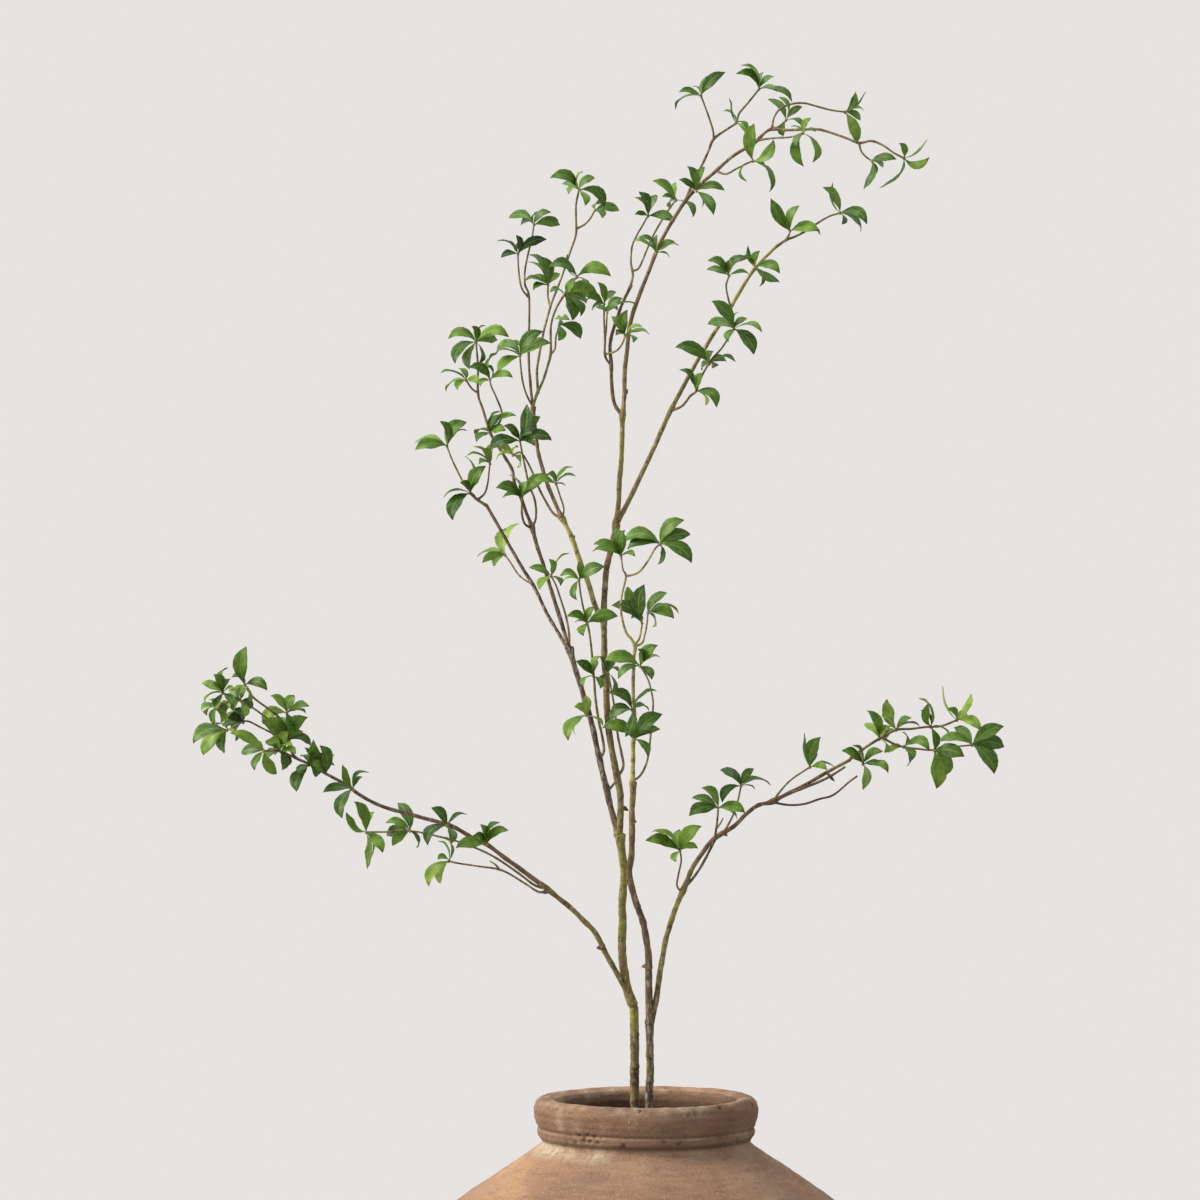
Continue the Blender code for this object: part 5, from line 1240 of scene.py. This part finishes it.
def stem_shape(path, diameters, tones, sides, step, seed, swellings=(), rings=(), moss=()):
    """A limb or twig: rings of points round a smooth line, at a radius that shrinks along it. Bark
    furrows of cloudy relief run along it, it swells round each place where something grows from it,
    and each ring joint is a narrow groove between two low collars."""
    rough = smooth_line(path, LINE_POINTS * len(path))
    line = seen_at(even_line(rough, step))
    travelled = along_line(line)
    tangents = unit(np.gradient(line, axis=0))
    side = unit(np.cross(tangents, SECTION_GUIDE))
    other = np.cross(tangents, side)
    angles = np.arange(sides) * 2 * math.pi / sides
    around = np.cos(angles)[None, :, None] * side[:, None] + np.sin(angles)[None, :, None] * other[:, None]
    radii = 0.5 * np.interp(travelled, [0, travelled[-1]], diameters)
    groove = np.zeros(len(line))
    growth = np.zeros(len(line))
    for place, size in swellings:
        distances = np.linalg.norm(line - place, axis=1)
        radii = radii * (1 + size * bell(distances, 0, SWELLING_REACH + radii))
    for place in rings:
        near = travelled - travelled[np.argmin(np.linalg.norm(line - place, axis=1))]
        groove = np.maximum(groove, bell(near, 0, JOINT_LINE))
        collars = sum(share * bell(near, middle, width) for middle, width, share in JOINT_COLLARS)
        radii = radii * (1 - CUT_DEPTH * bell(near, 0, CUT_WIDTH) + COLLAR_RISE * collars)
    for place, reach, strength in moss:
        distances = np.linalg.norm(line - place, axis=1)
        growth = np.maximum(growth, strength * bell(distances, 0, reach))
    round_place = np.stack([np.cos(angles) * BARK_ROUND, np.sin(angles) * BARK_ROUND], axis=-1)
    grid = np.concatenate([np.broadcast_to(round_place, (len(line), sides, 2)),
                           np.broadcast_to(travelled[:, None, None], (len(line), sides, 1))], axis=-1)
    furrows = sum(cloud(grid * stretch, size, seed + own) * height for stretch, size, height, own in FURROWS)
    bends = cloud(np.column_stack([travelled, np.zeros((len(line), 2))]), BEND_LENGTH, seed + 3)
    line = line + (side + other) * (bends * BEND_SHARE * radii)[:, None]
    surface = line[:, None] + around * (radii[:, None] * (1 + furrows))[..., None]
    ends = [line[-1] + tangents[-1] * radii[-1] * END_ROUNDING, line[0] - tangents[0] * radii[0] * END_ROUNDING]
    values = {"tone": np.interp(travelled, [0, travelled[-1]], tones), "moss": growth,
              "groove": groove * JOINT_DARKNESS}
    values = {name: np.append(np.repeat(value, sides), [value[-1], value[0]]) for name, value in values.items()}
    return {"points": np.vstack([surface.reshape(-1, 3), ends]), "faces": tube_faces(len(line), sides),
            "values": values}


def ring_owners(limb_paths, places):
    """For each limb, the ring joints that are seen nearest to it, where they stand in the model."""
    owners = {name: [] for name in limb_paths}
    for across, up in places:
        points = {name: nearest_on([path], across, up) for name, path in limb_paths.items()}
        owner = min(points, key=lambda name: math.hypot(points[name][0] - across, points[name][2] - up))
        owners[owner].append(seen_at(points[owner]))
    return owners


def build_wood(side, limbs, paths, buds, ring_places, moss_places, roots, skin):
    """A plant's wood: its limbs, swollen where others grow from them, with its buds."""
    full, thin = paths
    owners = ring_owners(thin, ring_places)
    moss = [(seen_at(nearest_on(thin.values(), across, up)), reach, strength)
            for across, up, reach, strength in moss_places]
    swellings = [(seen_at(path[0]), LIMB_SWELLING) for path in list(full.values())[1:]]
    swellings += [(seen_at(root), SPRAY_SWELLING) for root in roots]
    shapes = []
    for count, (name, limb) in enumerate(limbs.items()):
        sides = THICK_SIDES if limb[0] > THICK_LIMB else LIMB_SIDES
        shapes.append(stem_shape(full[name], limb[:2], LIMB_TONES[side][name], sides, BARK_STEP,
                                 17 * count + len(side), swellings, owners[name], moss))
    for diameter, start, end in buds:
        root = nearest_on(thin.values(), *start)
        tip = np.array([end[0], root[1], end[1]], float)
        shapes.append(spindle(seen_at(root), seen_at(tip), BUD_RADIUS * diameter, BUD_TONE))
    make_piece(side + "_wood", joined(shapes), [skin], side + "_plant")


def choose_whorl(hub, lean, tips, taken, draw):
    """The leaves of a whorl, chosen one after another: each one's curve, width and roll. The leaves'
    marks are added to those taken."""
    leaves = []
    for tip, from_face in tips:
        *leaf, marks = choose_leaf(hub, lean, tip, from_face, taken, draw)
        leaves.append(leaf)
        taken = np.vstack([taken, marks])
    return leaves, taken


def build_spray(name, twigs, full, hubs, leaves, finish, skins):
    """One spray: its twigs with a knob at each whorl, and its leaves with their tones."""
    bark_skin, upper_skin, lower_skin = skins
    tones = SPRAY_TWIG_TONES.get(name, TWIG_TONES)
    roots = [(seen_at(path[0]), TWIG_SWELLING) for path in full]
    wood = [stem_shape(path, twig[:2], tones, TWIG_SIDES, TWIG_STEP, 5 + len(name), roots)
            for path, twig in zip(full, twigs)]
    wood += [spindle(seen_at(hub - KNOB_FOOT), seen_at(hub + KNOB_TOP), KNOB_RADIUS, KNOB_TONE,
                     sides=6, rings=4) for hub in hubs]
    blades = []
    for place, (curve, width, roll) in leaves:
        middle_tone = WHORL_TONES.get(place, SPRAY_LEAF_TONES.get(name, LEAF_TONE))
        tone = min(LIGHTEST, max(0.0, middle_tone + finish.uniform(-TONE_SPREAD, TONE_SPREAD)))
        blades.append(leaf_shape(curve, width * LEAF_BREADTH.get(name, 1.0), roll, tone, finish))
    plain_name = name.replace("spray_", "")
    make_piece("twigs_" + plain_name, joined(wood), [bark_skin], name)
    make_piece("leaves_" + plain_name, joined(blades), [upper_skin, lower_skin], name)


def choose_leaves(spray_paths, taken):
    """The hubs and the leaves of each spray, chosen in the order of the plan by the same rule and the
    same draws as the plain solids; after them, the leaves that fill thick whorls."""
    draw = random.Random(SEED)
    hubs = {name: [] for name in SPRAYS}
    leaves = {name: [] for name in SPRAYS}
    for name, (_, _, whorls) in SPRAYS.items():
        for across, up, lean, broad, edge in whorls:
            hub = nearest_on(spray_paths[name][1], across, up)
            tips = [(tip, True) for tip in broad] + [(tip, False) for tip in edge]
            whorl, taken = choose_whorl(hub, lean, tips, taken, draw)
            hubs[name].append(hub)
            leaves[name] += [((across, up), leaf) for leaf in whorl]
    for name, whorls in FILLING.items():
        for place, ends in whorls.items():
            hub = nearest_on(spray_paths[name][1], *place)
            tips = [(tip, count % 3 != 2) for count, tip in enumerate(ends)]
            whorl, taken = choose_whorl(hub, 0, tips, taken, draw)
            leaves[name] += [(place, leaf) for leaf in whorl]
    return hubs, leaves


def build_plants():
    """Both plants: their wood, and their sprays of twigs and leaves."""
    finish = random.Random(SEED + 1)
    skins = (bark(), leaf_skin("leaf_upper_side", UPPER_COLOURS, "#82a03e", 0.5),
             leaf_skin("leaf_underside", LOWER_COLOURS, "#9fb265", 0.65))
    plants = {
        "left": (LEFT_LIMBS, LEFT_TRUNK_DEPTH, LEFT_BUDS, LEFT_RINGS, LEFT_MOSS),
        "right": (RIGHT_LIMBS, RIGHT_TRUNK_DEPTH, RIGHT_BUDS, RIGHT_RINGS, RIGHT_MOSS)}
    paths = {side: trace_limbs(limbs, depth) for side, (limbs, depth, *_) in plants.items()}
    taken = [path_marks(paths[side][1][name], limb[0], limb[1])
             for side, (limbs, *_) in plants.items() for name, limb in limbs.items()]
    roots = {"left": [], "right": []}
    spray_paths = {}
    for name, (side, twigs, _) in SPRAYS.items():
        full, thin = trace_twigs(twigs, paths[side][1].values())
        taken += [path_marks(path, twig[0], twig[1]) for path, twig in zip(thin, twigs)]
        roots[side].append(thin[0][0])
        thin[0] = beyond_joint(thin[0])
        spray_paths[name] = (full, thin)
    hubs, leaves = choose_leaves(spray_paths, np.vstack(taken))
    for name, (_, twigs, _) in SPRAYS.items():
        build_spray(name, twigs, spray_paths[name][0], hubs[name], leaves[name], finish, skins)
    for side, (limbs, _, buds, ring_places, moss_places) in plants.items():
        build_wood(side, limbs, paths[side], buds, ring_places, moss_places, roots[side], skins[0])


def softened(points, passes):
    """A line with its corners rounded: each inner point moves to the mean of itself, counted twice,
    and its two neighbours, and this is done a few times."""
    points = np.array(points, float)
    for _ in range(passes):
        points[1:-1] = (points[:-2] + 2 * points[1:-1] + points[2:]) / 4
    return points


def jar_outline():
    """The jar's outline as (radius, height): out along its base, up the belly and the shoulder, over
    the collar, and down inside to its floor."""
    inside = [MOUTH[-1]] + INSIDE
    floor = [(INSIDE[-1][0] - FLOOR_THICKNESS, FLOOR_THICKNESS), (0, FLOOR_THICKNESS)]
    parts = [
        even_line([(0, 0), (BASE_RADIUS - BASE_CHAMFER, 0)], RING_GAPS["base"]),
        even_line(smooth_line(BELLY, BELLY_POINTS), RING_GAPS["belly"]),
        even_line([BELLY[-1], COLLAR[0]], RING_GAPS["shoulder"])[1:-1],
        softened(even_line(COLLAR + MOUTH, RING_GAPS["collar"]), EDGE_ROUNDING),
        even_line(inside, RING_GAPS["inside"])[1:],
        even_line(floor, RING_GAPS["base"])]
    return np.vstack(parts)


def turned_surface(outline, steps):
    """The points of an outline turned round the axis, its outward directions, and its faces. The
    first and last places of the outline are on the axis and are single points."""
    angles = np.arange(steps) * 2 * math.pi / steps
    ring = outline[1:-1]
    spokes = np.stack([np.cos(angles), np.sin(angles)], axis=-1)
    flat = ring[:, None, :1] * spokes
    points = np.concatenate([flat, np.broadcast_to(ring[:, None, 1:], (*flat.shape[:2], 1))], axis=-1)
    slope = unit(np.gradient(outline, axis=0)[1:-1])
    outward = np.concatenate([slope[:, None, 1:] * spokes,
                              np.broadcast_to(-slope[:, None, :1], (*flat.shape[:2], 1))], axis=-1)
    rings = len(ring)
    faces = ring_faces(rings, steps)
    faces += cap_faces(0, rings * steps, steps, False)
    faces += cap_faces((rings - 1) * steps, rings * steps + 1, steps, True)
    return points, outward, faces


def with_poles(points, outline):
    """The rings' points with the two points on the axis after them."""
    return np.vstack([points.reshape(-1, 3), (0, 0, outline[0][1]), (0, 0, outline[-1][1])])


def dent(points, places, reaches, depths):
    """How deep the surface is bitten at each point: each dent is a bowl, depth * (1 - (distance /
    reach) ** 2) ** 2 inside its reach, and the deepest one counts."""
    total = np.zeros(points.shape[:-1])
    for place, reach, depth in zip(places, reaches, depths):
        distance = np.linalg.norm(points - place, axis=-1) / reach
        total = np.maximum(total, depth * np.clip(1 - distance ** 2, 0, None) ** 2)
    return total


def on_front(places):
    """Places on the collar that are seen from the front, as (across, height, reach, depth), as
    points with their reaches and depths."""
    points = [(across, -math.sqrt(COLLAR_REACH ** 2 - across ** 2), height) for across, height, *_ in places]
    return points, [reach for *_, reach, _ in places], [depth for *_, depth in places]


def jar_dents(draw):
    """Where the jar is chipped and pitted, by chance in each zone and at the places that are seen."""
    places, reaches, depths = on_front(FRONT_DENTS)
    for count, start, end, reach_range, depth_range in DENT_ZONES:
        for _ in range(count):
            angle = draw.uniform(0, 2 * math.pi)
            share = draw.random()
            radius, height = [low + (high - low) * share for low, high in zip(start, end)]
            places.append((radius * math.cos(angle), radius * math.sin(angle), height))
            reaches.append(draw.uniform(*reach_range))
            depths.append(draw.uniform(*depth_range))
    return places, reaches, depths


def bell(values, middle, width):
    """One at the middle value, falling smoothly to nothing on both sides."""
    return np.exp(-((values - middle) / width) ** 2)


def patches(points, size, seed, level, strength=1.0):
    """Cloudy patches of this size, from 0 to 1, which cover more where their level is higher."""
    return np.clip(cloud(points, size, seed) * strength + level, 0, 1)


def jar_relief(points, outside, collar, sway):
    """How far the jar's surface stands out at each point, and how deep it is bitten there. It is
    moved by clouds of four sizes, by faint throwing rings, by the groove, the lip and the lumps of
    its collar, and inward by its dents, whose bowls are pulled out of round by small clouds."""
    heights = points[..., 2]
    worn = sum(cloud(points, size, seed) * height for size, height, seed in WEAR)
    worn = worn + cloud(points, GRAIN_SIZE, 4) * (GRAIN_HEIGHT + COLLAR_GRAIN * collar)
    rings = np.sin(heights * RING_WAVE + cloud(points, 60, 5) * RING_DRIFT) * RING_HEIGHT
    groove = GROOVE_DEPTH * (0.75 + 0.5 * cloud(points, 16, 13))
    groove = groove * bell(heights, GROOVE_HEIGHT + sway, GROOVE_WIDTH)
    lip = LIP_RISE * bell(heights, LIP_HEIGHT + sway, LIP_WIDTH) * (1 + 0.6 * cloud(points, 7, 14))
    pulled = points + np.stack([cloud(points, 4.5, seed) for seed in (31, 32, 33)], axis=-1) * 1.5
    bites = dent(pulled, *jar_dents(random.Random(SEED + 2)))
    lumps = dent(pulled, *on_front(FRONT_LUMPS))
    turned = np.where(outside, lip - groove + lumps, 0.0)
    freedom = np.clip((heights - BASE_CHAMFER) / WEAR_FADE, 0, 1)
    freedom = np.where(outside | (heights > WEAR_INSIDE), freedom, 0.0)
    return (worn + rings + turned - bites) * freedom, bites


def jar_tints(points, outside, collar, sway, bites):
    """Lime with a painted highlight, darkness from the bites and from painted shade, and painted shade,
    at each point of the jar. Lime lies in the crease, most of all on the left, on the rubbed rim, on
    scuffs on the left of the collar, and as dust on the shoulder. A painted highlight runs along the
    edge above the lip. The jar is darker in its bites, and painted shade lies in the groove, under the
    collar and inside, deeper downward. Shade is painted shade: on the collar it deepens from left to
    right, away from the key light, with cloudy changes, and the inside has more of it."""
    heights = points[..., 2]
    radii = np.linalg.norm(points[..., :2], axis=-1)
    inner = ~outside & (heights < INNER_HEIGHT)
    leftward = np.clip(0.5 - points[..., 0] / LIME_SPREAD, 0, 1)
    patchy = patches(points, 26, 8, 0.6, 0.8)
    crease = bell(heights, CREASE_HEIGHT, LIME_BAND) * (0.25 + 0.95 * leftward ** 2)
    crease = crease * patchy * (radii < LIME_RADIUS) * outside
    # painted highlight: a pale line along the edge above the lip
    edge = 0.5 * bell(heights, PAINTED_EDGE_HIGHLIGHT[0] + sway, PAINTED_EDGE_HIGHLIGHT[1]) * patchy * outside
    rubbed = 0.45 * patches(points, 9, 11, 0.25) * bell(heights, *RUBBED_RIM) * (radii > RUBBED_RADIUS)
    scuffs = 0.5 * patches(points, 14, 9, -0.15) * collar * leftward + edge + rubbed
    dust = 0.25 * patches(points, 45, 10, 0.0) * outside * (heights > DUSTY_HEIGHT)
    # painted shade: the inside darkens downward below the rim
    deep = np.where(inner, np.clip((JAR_HEIGHT - heights) / DARKENING_DEPTH, 0, 0.9), 0)
    # painted shadow under the collar's edge
    undercut = 0.55 * bell(heights, UNDERCUT_HEIGHT, UNDERCUT_WIDTH) * outside
    # painted shade along the groove
    line = 0.3 * bell(heights, GROOVE_HEIGHT + sway, 1.1) * outside
    # painted shade on the collar: less on the left, where the key light falls, with cloudy changes
    tone_level = 0.68 - 0.36 * leftward + 0.3 * cloud(points, 38, 15)
    # lime carries a painted highlight, the darkening carries painted shade, and shade is painted shade on the
    # collar and inside
    return {"lime_and_painted_highlight": np.clip(np.maximum(crease, scuffs) + dust, 0, 1),
            "dirt_and_painted_shade": np.clip(np.clip(bites * 0.5, 0, 0.8) + deep + line + undercut, 0, 0.95),
            "shade": np.clip(collar * outside * tone_level + 0.6 * inner, 0, 1)}


def build_jar():
    """The jar: thrown, turned, worn and chipped, moved along its outward direction by its relief. Its
    outside is the part of its outline before the top that doesn't run downward."""
    outline = jar_outline()
    points, outward, faces = turned_surface(outline, JAR_STEPS)
    rising = np.gradient(outline, axis=0)[1:-1, 1] >= 0
    outside = (np.arange(len(outline) - 2) <= np.argmax(outline[:, 1])) & rising
    outside = np.broadcast_to(outside[:, None], points.shape[:-1])
    collar = np.clip((points[..., 2] - COLLAR_FOOT) / COLLAR_FADE, 0, 1)
    sway = SWAY * cloud(points, SWAY_LENGTH, 12)
    relief, bites = jar_relief(points, outside, collar, sway)
    tints = jar_tints(points, outside, collar, sway, bites)
    shape = {"points": with_poles(points + outward * relief[..., None], outline), "faces": faces,
             "values": {name: np.append(tint, [0, 0]) for name, tint in tints.items()}}
    make_piece("thrown_jar", shape, [terracotta()], "jar")


def build_soil():
    """The soil that fills the jar, heaped and crumbly on top, with loose crumbs lying on it."""
    draw = random.Random(SEED + 3)
    neck = MOUTH[-1][0] - SOIL_GAP
    bottom = FLOOR_THICKNESS + SOIL_GAP
    wall = [(radius - SOIL_GAP, height) for radius, height in reversed(INSIDE)]
    floor = [(0, bottom), (INSIDE[-1][0] - FLOOR_THICKNESS - SOIL_GAP, bottom)]
    top = even_line([(neck, SOIL_TOP), (0, SOIL_TOP)], neck / SOIL_RINGS)
    outline = np.vstack([floor, wall, [(neck, MOUTH[-1][1])], top])
    points, _, faces = turned_surface(outline, SOIL_STEPS)
    heap = sum(cloud(points, size, seed) * height for size, height, seed in HEAP)
    points[..., 2] += heap * (points[..., 2] > SOIL_TOP - 1)
    shapes = [{"points": with_poles(points, outline), "faces": faces, "values": {}}]
    for _ in range(CRUMBS):
        angle = draw.uniform(0, 2 * math.pi)
        reach = (neck - CRUMB_MARGIN) * math.sqrt(draw.random())
        height = SOIL_TOP + draw.uniform(*CRUMB_RISE)
        start = np.array([reach * math.cos(angle), reach * math.sin(angle), height])
        size = draw.choice(CRUMB_SIZES)
        run = unit([draw.uniform(-1, 1), draw.uniform(-1, 1), draw.uniform(-0.3, 0.3)])
        crumb = spindle(start, start + run * size * CRUMB_LENGTH, size * CRUMB_RADIUS, 0.0, sides=5, rings=3)
        shapes.append({"points": crumb["points"], "faces": crumb["faces"], "values": {}})
    make_piece("heaped_soil", joined(shapes), [potting_soil()], "soil")


def build_floor():
    """A round pale floor for the jar to stand on."""
    outline = np.array([(0, -FLOOR_DEPTH), (FLOOR_RADIUS, -FLOOR_DEPTH), (FLOOR_RADIUS, -FLOOR_DROP),
                        (0, -FLOOR_DROP)])
    points, _, faces = turned_surface(outline, FLOOR_STEPS)
    mesh = bpy.data.meshes.new("studio_floor")
    mesh.from_pydata((with_poles(points, outline) * MM).tolist(), [], faces)
    mesh.materials.append(studio_paint())
    new_object("studio_floor", mesh)


def soft_light(name, place, aim, size, power, colour):
    """A square soft light at a place, turned to face a point."""
    lamp = bpy.data.lights.new(name, "AREA")
    lamp.size = size
    lamp.energy = power
    lamp.color = linear(colour)[:3]
    light = new_object(name, lamp)
    light.location = place
    light.rotation_euler = (aim - light.location).to_track_quat("-Z", "Y").to_euler()


def build_studio():
    """The camera where the picture was taken from, pale surroundings and soft light from the left."""
    lens = bpy.data.cameras.new("camera")
    lens.sensor_width = SENSOR
    lens.lens = LENS
    camera = new_object("camera", lens)
    camera.location = (VIEW_ACROSS * MM, -VIEW_DISTANCE * MM, (VIEW_UP + JAR_HEIGHT) * MM)
    camera.rotation_euler = (math.pi / 2, 0, 0)
    bpy.context.scene.camera = camera
    world = bpy.data.worlds.new("studio")
    world.use_nodes = True
    surroundings = world.node_tree.nodes["Background"]
    surroundings.inputs["Color"].default_value = linear(SURROUNDINGS)
    bpy.context.scene.world = world
    bpy.context.scene.view_settings.view_transform = "Standard"
    aim = sum(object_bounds(), Vector()) / 2
    soft_light("key_light", KEY_PLACE, aim, KEY_SIZE, KEY_POWER, "#fff6ea")
    soft_light("top_light", TOP_PLACE, aim, TOP_SIZE, TOP_POWER, "#ffffff")


build_studio()
build_floor()
build_jar()
build_soil()
build_plants()
